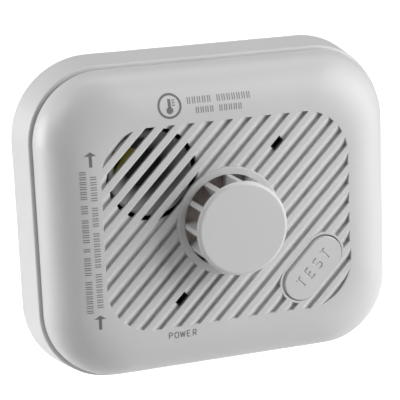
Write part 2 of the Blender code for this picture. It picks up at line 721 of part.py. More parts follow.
def groove_mesh(name, indices, shallow_depth, floor_depth, margin=0.0, width=GROOVE_WIDTH):
    """Grooves along the ribs: each floor falls to the foot of the next rib's upper-left side."""
    half_length = GROOVE_HALF_LENGTH + margin
    top = FACE_DEPTH + OVERRUN + margin
    shape = bmesh.new()
    for index in indices:
        far_edge = FIRST_GROOVE_OFFSET + RIB_PITCH * index + margin
        near_edge = far_edge - width - 2 * margin
        section = (
            (near_edge, top),
            (near_edge, shallow_depth),
            (far_edge - GROOVE_FOOT, floor_depth),
            (far_edge, floor_depth),
            (far_edge, top),
        )
        rings = []
        for end in (-1, 1):
            points = [ACROSS_RIBS * across + ALONG_RIBS * (end * half_length)
                      for across, _ in section]
            rings.append([(p.x, p.y, depth) for p, (_, depth) in zip(points, section)])
        add_loft(shape, rings, False)
    return finish_mesh(name, shape)


def build_front_cover(head, materials):
    cover = add_piece("front_cover", cover_mesh(), head, materials["shell"])
    above = FACE_DEPTH + 2 * OVERRUN
    below_floor = FACE_DEPTH - GROOVE_DEPTH - 3 * OVERRUN
    back = FACE_DEPTH - PANEL_THICKNESS
    floor = FACE_DEPTH - GROOVE_DEPTH

    # Screw bosses hang from the cover's inside.
    for index, centre in enumerate(CASE_SCREWS):
        fuse(cover, prism(f"boss_{index}", circle(BOSS_RADIUS, 16, centre), BOSS_START, BOSS_TOP), head)
        cut(cover, prism(f"boss_hole_{index}", circle(BOSS_HOLE_RADIUS, 12, centre), *BOSS_HOLE), head)

    # The pocket behind the horn leaves thin bars between the slots.
    bars_back = FACE_DEPTH - RIB_BAR_THICKNESS
    pocket = circle(HORN_OPENING_RADIUS, 40, HORN_CENTRE)
    cut(cover, prism("horn_pocket", pocket, back - 2 * OVERRUN, bars_back), head)

    # Shallow grooves stop at the panel's edge, at the guard's collar and at the button's land.
    panel_outline = rounded_rectangle(*inset(PANEL, TOOL_MARGIN))
    panel_area = add_cutter(prism("panel_area", panel_outline, below_floor, above), head)
    guard_land = prism("guard_land", circle(GUARD_LAND_RADIUS, 40), below_floor - OVERRUN,
                       above + OVERRUN)
    land_outline = button_outline(BUTTON_LAND_RADIUS, BUTTON_LAND_SHIFT)
    button_land = prism("button_land", land_outline, below_floor - OVERRUN, above + OVERRUN)
    grooves = add_cutter(
        groove_mesh("grooves", GROOVES_WITH_LANDS, FACE_DEPTH - GROOVE_NEAR_DEPTH, floor), head)
    combine(grooves, "INTERSECT", panel_area)
    cut(grooves, guard_land, head)
    cut(grooves, button_land, head)
    combine(cover, "DIFFERENCE", grooves)
    low_grooves = add_cutter(
        groove_mesh("low_grooves", GROOVES_BELOW_BUTTON, FACE_DEPTH - GROOVE_NEAR_DEPTH, floor), head)
    combine(low_grooves, "INTERSECT", panel_area)
    combine(cover, "DIFFERENCE", low_grooves)

    # Slots right through, over the horn.
    opening = circle(HORN_OPENING_RADIUS - TOOL_MARGIN, 40, HORN_CENTRE)
    horn_area = add_cutter(prism("horn_area", opening, back - OVERRUN / 2, above), head)
    slots = add_cutter(
        groove_mesh("horn_slots", GROOVES_OVER_HORN, back - OVERRUN, back - OVERRUN, TOOL_MARGIN / 4,
                    HORN_SLOT_WIDTH), head)
    combine(slots, "INTERSECT", horn_area)
    cut(slots, guard_land.copy(), head)
    combine(cover, "DIFFERENCE", slots)

    # Stepped seat of the guard, the button's hole and the two indicator slots.
    through = back - OVERRUN
    cut(cover, prism("guard_through", circle(GUARD_SEAT_RADIUS + GAP, 40), through, above), head)
    cut(cover, prism("guard_seat", circle(GUARD_COLLAR_RADIUS + GAP, 40),
                     FACE_DEPTH + GUARD_COLLAR_RISE - GUARD_FLANGE_THICKNESS - GAP, above), head)
    moat_outline = button_outline(BUTTON_MOAT_RADIUS, BUTTON_MOAT_SHIFT)
    cut(cover, prism("button_moat", moat_outline, FACE_DEPTH - BUTTON_MOAT_DEPTH, above), head)
    cut(cover, prism("button_hole", button_outline(BUTTON_HOLE_RADIUS), through, above), head)
    for label, (along, groove) in (("alarm", (ALARM_SLOT_ALONG, ALARM_SLOT_GROOVE)),
                                   ("power", (POWER_SLOT_ALONG, POWER_SLOT_GROOVE))):
        outline = along_rib_rectangle(along, groove_centre(groove), SLOT_LENGTH, SLOT_WIDTH)
        cut(cover, prism(f"{label}_slot", outline, through, above), head)


def button_outline(radius, shift=(0.0, 0.0)):
    """The button's round-ended outline, grown to a radius and moved sideways."""
    ends = [(x + shift[0], y + shift[1]) for x, y in (BUTTON_LOW_END, BUTTON_HIGH_END)]
    return stadium(*ends, radius)


def button_middle():
    return [(low + high) / 2 for low, high in zip(BUTTON_LOW_END, BUTTON_HIGH_END)]


def groove_centre(index):
    return FIRST_GROOVE_OFFSET + RIB_PITCH * index - GROOVE_WIDTH / 2


def slot_place(along, groove):
    point = ALONG_RIBS * along + ACROSS_RIBS * groove_centre(groove)
    return (point.x, point.y)


def build_sensor_guard(head, materials):
    """Collar, twelve radial fins and a flat cap with a rounded edge."""
    collar_top = FACE_DEPTH + GUARD_COLLAR_RISE
    flange_low = collar_top - GUARD_FLANGE_THICKNESS
    tail_low = flange_low - GUARD_TAIL
    collar = [
        (GUARD_SEAT_RADIUS, tail_low),
        (GUARD_SEAT_RADIUS, flange_low),
        (GUARD_COLLAR_RADIUS, flange_low),
        (GUARD_COLLAR_RADIUS, collar_top - GUARD_COLLAR_RISE),
        (GUARD_COLLAR_RADIUS - GUARD_COLLAR_RISE, collar_top),
        (GUARD_BORE_RADIUS, collar_top),
        (GUARD_BORE_RADIUS, tail_low),
    ]
    steps = 4 * GUARD_FINS
    guard = add_piece("sensor_guard", turned("sensor_guard", collar, steps, closed=True), head,
                      materials["shell"])
    cap_low = FACE_DEPTH + GUARD_OPENING_HEIGHT
    cap_top = cap_low + GUARD_CAP_THICKNESS
    fillet = [
        (GUARD_RADIUS - GUARD_CAP_FILLET * (1 - math.cos(math.radians(angle))),
         cap_top - GUARD_CAP_FILLET * (1 - math.sin(math.radians(angle))))
        for angle in (0, 30, 60, 90)
    ]
    cap = [(GUARD_RADIUS, cap_low), *fillet]
    fuse(guard, fin_mesh(cap_low + GUARD_CAP_THICKNESS / 2, tail_low + GUARD_FIN_STEP), head)
    fuse(guard, turned("guard_cap", cap, steps), head)


def fin_mesh(top, low):
    root = GUARD_SEAT_RADIUS - GUARD_FIN_STEP
    root_top = FACE_DEPTH - TOOL_MARGIN
    outer = GUARD_RADIUS - TOOL_MARGIN / 2
    side_view = [
        (GUARD_FIN_INNER_RADIUS, low),
        (root, low),
        (root, root_top),
        (outer, root_top),
        (outer, top),
        (GUARD_FIN_INNER_RADIUS, top),
    ]
    shape = bmesh.new()
    for index in range(GUARD_FINS):
        turn = Matrix.Rotation(2 * math.pi * index / GUARD_FINS, 3, "Z")
        rings = [
            [turn @ Vector((radius, side * GUARD_FIN_THICKNESS / 2, depth))
             for radius, depth in side_view]
            for side in (-1, 1)
        ]
        add_loft(shape, rings, False)
    return finish_mesh("guard_fins", shape)


# ---------------------------------------------------------------- head: rear case


def build_rear_case(head, materials):
    outline = inset(COVER_RIM, COVER_WALL + GAP + TOOL_MARGIN)
    wall_top_outline = inset(outline, REAR_CASE_TAPER)
    floor_low, floor_top = REAR_CASE_FLOOR
    inner = inset(wall_top_outline, REAR_CASE_WALL)
    rings = [
        lifted(rounded_rectangle(*outline), floor_low),
        lifted(rounded_rectangle(*wall_top_outline), REAR_CASE_WALL_TOP),
        lifted(rounded_rectangle(*inner), REAR_CASE_WALL_TOP),
        lifted(rounded_rectangle(*inner), floor_top),
    ]
    case = add_piece("rear_case", loft("rear_case", rings), head, materials["inner"])

    # Battery pocket, open to the back.
    inner_x = (BATTERY_X[0] - POCKET_CLEARANCE, BATTERY_X[1] + POCKET_CLEARANCE)
    inner_y = (BATTERY_Z[0] - POCKET_CLEARANCE,
               BATTERY_Z[1] + BATTERY_STUD_LENGTH + POCKET_CONTACT_SPACE)
    pocket_top = BATTERY_DEPTH[1] + POCKET_CLEARANCE
    outer_x = (inner_x[0] - POCKET_WALL, inner_x[1] + POCKET_WALL)
    outer_y = (inner_y[0] - POCKET_WALL, inner_y[1] + POCKET_WALL)
    pocket = prism("battery_pocket", rectangle(outer_x, outer_y), floor_low + POCKET_ROOT,
                   pocket_top + POCKET_WALL)
    space = prism("battery_space", rectangle(inner_x, inner_y), floor_low - OVERRUN, pocket_top)
    fuse(case, pocket, head)
    cut(case, space, head)

    # Keyholes: narrow where the hooks hold, wide where the head lifts off.
    for side in (-1, 1):
        for low, high in HOOK_SPANS:
            narrow = HOOK_NECK_HALF + KEYHOLE_CLEARANCE
            wide = HOOK_HEAD_HALF + KEYHOLE_CLEARANCE
            narrow_x = (side * HOOK_X - narrow, side * HOOK_X + narrow)
            wide_x = (side * HOOK_X - wide, side * HOOK_X + wide)
            narrow_y = (low - SLIDE_TRAVEL - KEYHOLE_CLEARANCE, high + KEYHOLE_CLEARANCE)
            wide_y = (low - SLIDE_TRAVEL - KEYHOLE_CLEARANCE, high - SLIDE_TRAVEL + KEYHOLE_CLEARANCE)
            label = f"{side}_{low:.3f}"
            for width, span_x, span_y in (("narrow", narrow_x, narrow_y), ("wide", wide_x, wide_y)):
                keyhole = rectangle(span_x, span_y)
                cut(case, prism(f"keyhole_{width}_{label}", keyhole, *CASE_FLOOR_CUT), head)

    # Low pads hold the circuit board off the floor.
    for index, centre in enumerate(BOARD_PADS):
        pad = prism(f"board_pad_{index}", circle(BOARD_PAD_RADIUS, 12, centre), floor_low + PAD_ROOT,
                    BOARD[0] - GAP)
        fuse(case, pad, head)

    # Counterbored screw posts.
    for index, centre in enumerate(CASE_SCREWS):
        post = circle(CASE_POST_RADIUS, 16, centre)
        counterbore = circle(COUNTERBORE_RADIUS, 16, centre)
        clear_hole = circle(CLEAR_HOLE_RADIUS, 12, centre)
        fuse(case, prism(f"post_{index}", post, CASE_POST_START, BOSS_START - GAP), head)
        cut(case, prism(f"counterbore_{index}", counterbore, BELOW_CASE, COUNTERBORE_END), head)
        cut(case, prism(f"clear_hole_{index}", clear_hole, CASE_POST_START, CLEAR_HOLE_END), head)
    case_screw = screw_mesh("case_screw", *CASE_SCREW)
    case_screw.transform(Matrix.Rotation(math.pi, 4, "X"))
    for index, centre in enumerate(CASE_SCREWS, 1):
        add_piece(f"case_screw_{index}", case_screw, head, materials["steel"],
                  (*centre, SCREW_HEAD_SEAT + CASE_SCREW[3]))

    window = rectangle((SOCKET_XS[0] - BLADE_WINDOW_REACH, SOCKET_XS[-1] + BLADE_WINDOW_REACH),
                       (-BLADE_WINDOW_HALF_HEIGHT, BLADE_WINDOW_HALF_HEIGHT))
    cut(case, prism("blade_window", window, *CASE_FLOOR_CUT), head)


def build_mains_blades(head, materials):
    """Bent blades that enter the sockets, held together by a block behind the rear case."""
    outline = rectangle((SOCKET_XS[0] - CARRIER_REACH, SOCKET_XS[-1] + CARRIER_REACH),
                        (-CARRIER_HALF_HEIGHT, CARRIER_HALF_HEIGHT))
    carrier = add_piece("contact_carrier", prism("contact_carrier", outline, *CARRIER_DEPTH), head,
                        materials["block"])
    half_width, half_height = BLADE_HOLE_HALF
    holes = [
        (rectangle((x - half_width, x + half_width), (-half_height, half_height)),
         CARRIER_DEPTH[0] - OVERRUN, CARRIER_DEPTH[1] + OVERRUN)
        for x in SOCKET_XS
    ]
    cut(carrier, prisms("blade_holes", holes), head)
    for label, x in zip(POLES, SOCKET_XS):
        blade = extruded(f"contact_blade_{label}", BLADE_VIEW, BLADE_HALF_WIDTH, (x, 0.0))
        add_piece(f"contact_blade_{label}", blade, head, materials["brass"])


# ---------------------------------------------------------------- head: horn


def build_horn(head, materials):
    """Funnel with a sounder disc across its back, and a brass leaf hooked over its rim."""
    profile = [
        (HORN_RADIUS, HORN_BACK),
        (HORN_RADIUS, HORN_FRONT),
        (HORN_MOUTH_RADIUS, HORN_FRONT),
        (HORN_MOUTH_RADIUS, HORN_FRONT - HORN_LIP),
        (HORN_THROAT_RADIUS, HORN_SEAT_DEPTH + HORN_THROAT_LENGTH),
        (HORN_THROAT_RADIUS, HORN_SEAT_DEPTH),
        (HORN_SEAT_RADIUS, HORN_SEAT_DEPTH),
        (HORN_SEAT_RADIUS, HORN_BACK),
    ]
    place = (*HORN_CENTRE, 0.0)
    housing = add_piece("horn_housing", turned("horn_housing", profile, 40, closed=True), head,
                        materials["shell"], place)
    notch_half = LEAF_HALF_WIDTH + GAP
    notch = prism("leaf_notch", rectangle(HORN_NOTCH_REACH, (-notch_half, notch_half)),
                  HORN_NOTCH_FLOOR, HORN_FRONT + OVERRUN)
    notch.transform(Matrix.Rotation(math.radians(LEAF_HEADING), 4, "Z"))
    cut(housing, notch, head, place)
    add_piece("piezo_disc", turned("piezo_disc", PIEZO_DISC, 32, HORN_CENTRE), head, materials["brass"])
    add_piece("horn_back_cap", turned("horn_back_cap", HORN_BACK_CAP, 32, HORN_CENTRE), head,
              materials["inner"])
    gauze = [(HORN_GAUZE_RADIUS, depth) for depth in HORN_GAUZE]
    add_piece("horn_gauze", turned("horn_gauze", gauze, 32, HORN_CENTRE), head, materials["black"])

    # The leaf lies on an insulating card at the mouth's upper left.
    card_outline = segment(LEAF_CARD_RADIUS, LEAF_CARD_CHORD, LEAF_CARD_HEADING)
    add_piece("horn_leaf_card", prism("horn_leaf_card", card_outline, *LEAF_CARD), head,
              materials["black"], place)
    axis = add_empty("horn_contact_place", head, place, (0, 0, math.radians(LEAF_HEADING)))
    rings = [[(radius, side * LEAF_HALF_WIDTH, depth) for radius, depth in LEAF_VIEW]
             for side in (-1, 1)]
    add_piece("horn_contact_leaf", loft("horn_contact_leaf", rings), axis, materials["brass"])


# ---------------------------------------------------------------- head: electronics


def build_board(head, materials):
    add_piece("circuit_board", prism("circuit_board", BOARD_OUTLINE, *BOARD), head, materials["board"])

    # Test switch under the middle of the button.
    middle_x, middle_y = button_middle()
    switch_centre = (middle_x, middle_y + SWITCH_SHIFT)
    body = rectangle(*[(middle - SWITCH_HALF_WIDTH, middle + SWITCH_HALF_WIDTH)
                       for middle in switch_centre])
    switch = add_piece("test_switch", prism("test_switch", body, BOARD_FRONT_GAP, SWITCH_TOP), head,
                       materials["black"])
    fuse(switch, prism("switch_plunger", circle(PLUNGER_RADIUS, 16, switch_centre), *PLUNGER), head)

    add_piece("processor_chip", prism("processor_chip", rectangle(*CHIP), BOARD_FRONT_GAP, CHIP_TOP),
              head, materials["black"])
    box = prism("mains_capacitor", rectangle(*MAINS_CAPACITOR), BOARD_FRONT_GAP, MAINS_CAPACITOR_TOP)
    mains_capacitor = add_piece("mains_capacitor", box, head, materials["resin"])
    add_bevel(mains_capacitor, MAINS_CAPACITOR_EDGE, 1)
    for index, x in enumerate(CAN_XS, 1):
        name = f"smoothing_capacitor_{index}"
        add_piece(name, turned(name, CAN, 20), head, materials["capacitor"], (x, CAN_Y, BOARD_FRONT_GAP))
    varistor = turned("surge_varistor", VARISTOR, 20)
    varistor.transform(Matrix.Rotation(math.pi / 2, 4, "X"))
    add_piece("surge_varistor", varistor, head, materials["capacitor"], VARISTOR_CENTRE)

    # Indicators under the two slots, each in a black tube that keeps their light apart.
    for label, along, groove, lens in (
        ("alarm", ALARM_SLOT_ALONG, ALARM_SLOT_GROOVE, "red"),
        ("power", POWER_SLOT_ALONG, POWER_SLOT_GROOVE, "green"),
    ):
        place = (*slot_place(along, groove), 0.0)
        add_piece(f"{label}_led", turned(f"{label}_led", LED, 16), head, materials[lens], place)
        add_led_shroud(f"{label}_led_shroud", head, materials, place)


def add_led_shroud(name, head, materials, place):
    """Round cap over an indicator, with a hollow nose that lines the slot in the panel."""
    body = turned(name, [(SHROUD_RADIUS, BOARD_FRONT_GAP), (SHROUD_RADIUS, SHROUD_TOP)], 20)
    shroud = add_piece(name, body, head, materials["black"], place)
    nose_length = SLOT_LENGTH - 2 * SHROUD_NOSE_GAP
    nose_width = SLOT_WIDTH - 2 * SHROUD_NOSE_GAP
    nose = along_rib_rectangle(0.0, 0.0, nose_length, nose_width)
    window = along_rib_rectangle(0.0, 0.0, nose_length - 2 * SHROUD_NOSE_WALL,
                                 nose_width - 2 * SHROUD_NOSE_WALL)
    bore = circle(SHROUD_RADIUS - SHROUD_WALL, 20)
    fuse(shroud, prism("nose", nose, SHROUD_TOP - SHROUD_WALL / 2, SHROUD_NOSE_TOP), head, place)
    cut(shroud, prism("bore", bore, BOARD[0], SHROUD_TOP - SHROUD_WALL), head, place)
    cut(shroud, prism("window", window, SHROUD_TOP - 2 * SHROUD_WALL, FACE_DEPTH), head, place)


def build_thermistor(head, materials):
    """A column on the main board carries a small round board, and the bead on its two leads."""
    small_board = [(SENSOR_BOARD_RADIUS, SENSOR_BOARD[0]), (SENSOR_BOARD_RADIUS, SENSOR_BOARD[1]),
                   (SENSOR_BOARD_BORE, SENSOR_BOARD[1]), (SENSOR_BOARD_BORE, SENSOR_BOARD[0])]
    add_piece("sensor_board", turned("sensor_board", small_board, 40, closed=True), head,
              materials["board"])
    holder = turned("thermistor_holder", THERMISTOR_HOLDER, 20)
    add_piece("thermistor_holder", holder, head, materials["black"])
    bead = turned("thermistor_bead", THERMISTOR_BEAD, 16)
    add_piece("thermistor_bead", bead, head, materials["resin"])
    for index, x in enumerate(THERMISTOR_LEAD_XS, 1):
        name = f"thermistor_lead_{index}"
        lead = turned(name, THERMISTOR_LEAD, 10, (x, 0.0))
        add_piece(name, lead, head, materials["steel"])


def build_battery(head, materials):
    body = add_piece("battery", prism("battery", rectangle(BATTERY_X, BATTERY_Z), *BATTERY_DEPTH),
                     head, materials["battery"])
    add_bevel(body, BATTERY_EDGE, 2)
    middle_depth = sum(BATTERY_DEPTH) / 2
    middle_x = sum(BATTERY_X) / 2
    stud_top = BATTERY_Z[1] + BATTERY_STUD_LENGTH
    half_width = BATTERY_CONTACT_HALF_WIDTH
    for label, side, radius in (("positive", -1, POSITIVE_STUD_RADIUS),
                                ("negative", 1, NEGATIVE_STUD_RADIUS)):
        x = middle_x + side * BATTERY_STUD_OFFSET
        stud = prism(f"battery_stud_{label}", circle(radius, 20), 0.0, BATTERY_STUD_LENGTH - GAP)
        stud.transform(Matrix.Rotation(-math.pi / 2, 4, "X"))
        add_piece(f"battery_stud_{label}", stud, head, materials["steel"],
                  (x, BATTERY_Z[1] + GAP, middle_depth))
        plate = rectangle((x - half_width, x + half_width),
                          [stud_top + distance for distance in BATTERY_CONTACT])
        contact = prism(f"battery_contact_{label}", plate, middle_depth - half_width,
                        BATTERY_CONTACT_TOP)
        add_piece(f"battery_contact_{label}", contact, head, materials["brass"])


# ---------------------------------------------------------------- test button


def build_button(head, materials):
    middle_x, middle_y = button_middle()
    axis = add_empty("test_button_axis", head, (middle_x, middle_y, 0.0))
    low_end = (BUTTON_LOW_END[0] - middle_x, BUTTON_LOW_END[1] - middle_y)
    high_end = (BUTTON_HIGH_END[0] - middle_x, BUTTON_HIGH_END[1] - middle_y)
    levels = (
        (BUTTON_FLANGE_RADIUS, BUTTON_FLANGE[0]),
        (BUTTON_FLANGE_RADIUS, BUTTON_FLANGE[1]),
        (BUTTON_RADIUS, BUTTON_FLANGE[1]),
        (BUTTON_RADIUS, FACE_DEPTH - BUTTON_EDGE),
        (BUTTON_RADIUS - BUTTON_EDGE, FACE_DEPTH),
    )
    rings = [lifted(stadium(low_end, high_end, radius), depth) for radius, depth in levels]
    button = add_piece("test_button", loft("test_button", rings), axis, materials["shell"])
    fuse(button, prism("spring_pin", circle(BUTTON_PIN_RADIUS, 12, low_end), *BUTTON_PIN), axis)


def add_return_spring(head, materials):
    """Open coil around the button's pin, between the board and the button's flange."""
    low = BOARD_FRONT_GAP + SPRING_WIRE_RADIUS
    high = BUTTON_FLANGE[0] - GAP - SPRING_WIRE_RADIUS
    curve = bpy.data.curves.new("button_spring", "CURVE")
    curve.dimensions = "3D"
    curve.bevel_depth = SPRING_WIRE_RADIUS
    curve.bevel_resolution = 1
    curve.use_fill_caps = True
    spline = curve.splines.new("POLY")
    last = SPRING_TURNS * SPRING_STEPS_PER_TURN
    spline.points.add(last)
    for index, point in enumerate(spline.points):
        angle = 2 * math.pi * index / SPRING_STEPS_PER_TURN
        height = low + (high - low) * index / last
        point.co = (SPRING_RADIUS * math.cos(angle), SPRING_RADIUS * math.sin(angle), height, 1.0)
    curve.materials.append(materials["steel"])
    spring = bpy.data.objects.new("button_spring", curve)
    bpy.context.collection.objects.link(spring)
    spring.parent = head
    spring.location = (*BUTTON_LOW_END, 0.0)


# ---------------------------------------------------------------- whole alarm


def main():
    for item in list(bpy.data.objects):
        bpy.data.objects.remove(item)
    materials = make_materials()
    frame = add_empty("wall_frame", rotation=(math.pi / 2, 0.0, 0.0))
    head = add_empty("alarm_head_axis", frame)
    build_base(frame, materials)
    build_terminals(frame, materials)
    build_release_clip(frame, materials)
    build_front_cover(head, materials)
    build_sensor_guard(head, materials)
    build_rear_case(head, materials)
    build_mains_blades(head, materials)
    build_horn(head, materials)
    build_board(head, materials)
    build_thermistor(head, materials)
    build_battery(head, materials)
    build_button(head, materials)
    add_return_spring(head, materials)


main()
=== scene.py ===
"""Finished look of the heat alarm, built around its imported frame.

Pieces are drawn in plan, in millimetres: x to the right, y up the wall and z out of the wall. The
matrix PLAN_TO_WORLD stands them up, so that they land on the frame, which is in metres with the
front facing -Y.
"""

import math

import bmesh
import bpy
from mathutils import Matrix, Vector
from mathutils.bvhtree import BVHTree


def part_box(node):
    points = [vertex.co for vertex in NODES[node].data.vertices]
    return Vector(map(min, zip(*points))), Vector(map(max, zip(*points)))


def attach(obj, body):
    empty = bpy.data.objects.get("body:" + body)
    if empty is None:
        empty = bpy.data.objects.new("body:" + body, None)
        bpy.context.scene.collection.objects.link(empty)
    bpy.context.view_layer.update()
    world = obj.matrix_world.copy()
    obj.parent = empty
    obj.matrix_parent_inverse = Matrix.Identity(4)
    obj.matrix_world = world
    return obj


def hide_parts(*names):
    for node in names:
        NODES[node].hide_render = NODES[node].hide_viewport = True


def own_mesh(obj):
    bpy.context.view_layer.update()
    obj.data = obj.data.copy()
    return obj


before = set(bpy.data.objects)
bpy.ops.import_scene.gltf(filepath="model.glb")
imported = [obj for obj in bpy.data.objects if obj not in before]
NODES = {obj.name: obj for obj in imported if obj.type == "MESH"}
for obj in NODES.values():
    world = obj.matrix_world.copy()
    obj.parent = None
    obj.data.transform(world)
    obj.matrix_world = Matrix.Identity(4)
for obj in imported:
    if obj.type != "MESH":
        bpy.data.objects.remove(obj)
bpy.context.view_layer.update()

MM = 0.001
PLAN_TO_WORLD = Matrix.Rotation(math.pi / 2, 4, "X") @ Matrix.Scale(MM, 4)


def plan_box(node):
    """Lowest and highest corner of a CAD node in plan."""
    low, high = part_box(node)
    return Vector((low.x, low.z, -high.y)) / MM, Vector((high.x, high.z, -low.y)) / MM


def middle(low, high):
    return (low + high) / 2


COVER_LOW, COVER_HIGH = plan_box("front_cover")
GUARD_LOW, GUARD_HIGH = plan_box("sensor_guard")
HORN_LOW, HORN_HIGH = plan_box("horn_housing")
BUTTON_LOW, BUTTON_HIGH = plan_box("test_button")
SPRING_LOW, SPRING_HIGH = plan_box("button_spring")
BASE_HIGH = plan_box("mounting_base")[1]
CLIP_HIGH = plan_box("release_clip")[1]
PIN_LOW, PIN_HIGH = plan_box("clip_pin")

OVERRUN = 1.0  # how far joined parts run into each other, and a cutter past what it cuts
ROUND_SIDES = 96
HOLE_SIDES = 24

# Front cover. Outlines are half width, half height and corner radius.
FACE = COVER_HIGH.z
COVER_RIM = (COVER_HIGH.x, COVER_HIGH.y, 26.2)
PANEL = (48.5, 38.1, 18.0)
FLAT_MARGIN = 0.8
FACE_ROUNDNESS = 2.2
COVER_WALL = 2.2
PANEL_THICKNESS = 3.6
PANEL_BACK = FACE - PANEL_THICKNESS

# Ribs rise to the right at 45 degrees, with grooves between them.
ROOT_HALF = math.sqrt(0.5)
ACROSS_RIBS = Vector((ROOT_HALF, -ROOT_HALF, 0.0))
ALONG_RIBS = Vector((ROOT_HALF, ROOT_HALF, 0.0))
RIB_PITCH = 5.308
FIRST_GROOVE = -46.19
GROOVES = range(-1, 18)
CORNER_GROOVES = range(18, 20)
GROOVE_WIDTH = 2.9
GROOVE_FLOOR = FACE - 1.8
GROOVE_SLOPE = ((0.4, 0.32), (0.65, 0.75))  # shares of its width and of its fall
GROOVE_FOOT = 0.35
GROOVE_FOOT_RISES = (0.08, 0.3)
EDGE_ROUND = 0.2
EDGE_BREAK = 0.3  # where a rounded edge changes slope, as a share of its radius
NEAR_EDGE_BREAKS = (0.2, 0.8)
GROOVE_AREA_INSET = 0.1
CORNER_AREA_INSET = -0.35

# Cutters reach past what they cut; those combined with each other end at different depths.
CUT_HALF_LENGTH = 80.0
GROOVE_CUT_TOP = FACE + 1.0
SLOT_CUT_TOP = FACE + 1.5
AREA_CUT_TOP = FACE + 2.0
LAND_CUT_TOP = FACE + 3.0
CUT_TOP = FACE + 4.0
HORN_AREA_LOW = FACE - 4.1
SLOT_CUT_LOW = FACE - 5.0
LAND_CUT_LOW = GROOVE_FLOOR - 2.0
AREA_CUT_LOW = GROOVE_FLOOR - 3.0
CUT_LOW = PANEL_BACK - 2.0

# Openings in the cover.
RIB_BAR_THICKNESS = 1.3
HORN_OPENING_RADIUS = 17.45
HORN_SLOTS = range(-1, 6)
HORN_SLOT_WIDTH = 2.44
HORN_SLOT_SHIFT = 0.02
HORN_SLOT_MARGIN = 0.1
HORN_OPENING_SIDES = 72
LED_SLOTS = {"alarm": (33.3, 8), "power": (-33.5, 10)}  # place along the ribs, groove
LED_SLOT_LENGTH = 5.3
LED_SLOT_WIDTH = 2.7

# Sensor guard.
GUARD_COLLAR_RADIUS = GUARD_HIGH.x
GUARD_TOP = GUARD_HIGH.z
GUARD_SEAT_RADIUS = 18.3
GUARD_RADIUS = 17.5
GUARD_BORE_RADIUS = 17.6
GUARD_SIDES = 120
GUARD_COLLAR_RISE = 0.3
GUARD_COLLAR_TOP = FACE + GUARD_COLLAR_RISE
GUARD_COLLAR_ROUND = 0.4
GUARD_BORE_ROUND = 0.3
GUARD_FLANGE_LOW = GUARD_COLLAR_TOP - 1.7
GUARD_CAP_LOW = GUARD_TOP - 1.8
GUARD_CAP_FILLET = 1.6
GUARD_CAP_CHAMFER = 0.15
GUARD_LAND_MARGIN = 0.1
GUARD_CLEARANCE = 0.05
GUARD_SEAT_CLEARANCE = 0.04
GUARD_FINS = 12
FIN_INNER_RADIUS = 12.5
FIN_LOWER_RADIUS = GUARD_SEAT_RADIUS - 0.3
FIN_UPPER_RADIUS = GUARD_RADIUS - 0.02
FIN_LOW = GUARD_LOW.z + 0.3
FIN_STEP = FACE - 0.1
FIN_TOP = GUARD_CAP_LOW + 0.9
FIN_THICKNESS = 1.9

# Horn.
HORN_CENTRE = (middle(HORN_LOW.x, HORN_HIGH.x), middle(HORN_LOW.y, HORN_HIGH.y))
HORN_RADIUS = (HORN_HIGH.x - HORN_LOW.x) / 2
HORN_RIM_CHAMFER = 0.3
HORN_MOUTH_RADIUS = 14.7
HORN_MOUTH_CHAMFER = 0.2
HORN_MOUTH_DEPTH = 1.0
HORN_THROAT_RADIUS = 7.0
HORN_THROAT_LENGTH = 0.7
HORN_CONE_STEPS = 10
HORN_SEAT = (14.0, 20.3)  # radius and height of the piezo disc's seat
LEAF_HEADING = 147
LEAF_NOTCH = (((12.8, 18.0), (-6.3, 6.3)), (29.0, 32.0))
LEAF_BODY = (((8.9, 12.0), (-5.0, 6.0)), (28.82, 29.18))
LEAF_PARTS = (
    (0.9, (11.5, 12.9), 28.84, 29.16),
    (0.9, (12.4, 12.9), 28.86, 29.68),
    (0.9, (12.5, 16.66), 29.33, 29.66),
    (0.9, (16.34, 16.66), 19.05, 29.5),
)

# Test button: a round-ended bar along the ribs, with a moat around it.
BUTTON_FLANGE_RADIUS = 8.2
BUTTON_FLANGE = (28.8, 30.2)
BUTTON_RADIUS = 7.1
BUTTON_HOLE_RADIUS = 7.2
BUTTON_SHOULDER = 0.8
SHOULDER_DROP = 1.5
BUTTON_SHIFT = (-0.4, 0.2)
BUTTON_LAND_RADIUS = 8.4
BUTTON_MOAT_RADIUS = 7.5
BUTTON_MOAT_FLOOR = FACE - 1.5
BUTTON_LOW_END = (BUTTON_LOW.x + BUTTON_FLANGE_RADIUS, BUTTON_LOW.y + BUTTON_FLANGE_RADIUS)
BUTTON_HIGH_END = (BUTTON_HIGH.x - BUTTON_FLANGE_RADIUS, BUTTON_HIGH.y - BUTTON_FLANGE_RADIUS)
SPRING_PIN_RADIUS = 1.2
SPRING_RADIUS = 2.2
SPRING_WIRE = 0.25
SPRING_TURNS = 4
SPRING_STEPS = 24  # in one turn
LETTER_SIZE = 4.2
LETTER_PITCH = 4.7
LETTER_WIRE = 0.42
LETTER_LIFT = 0.03

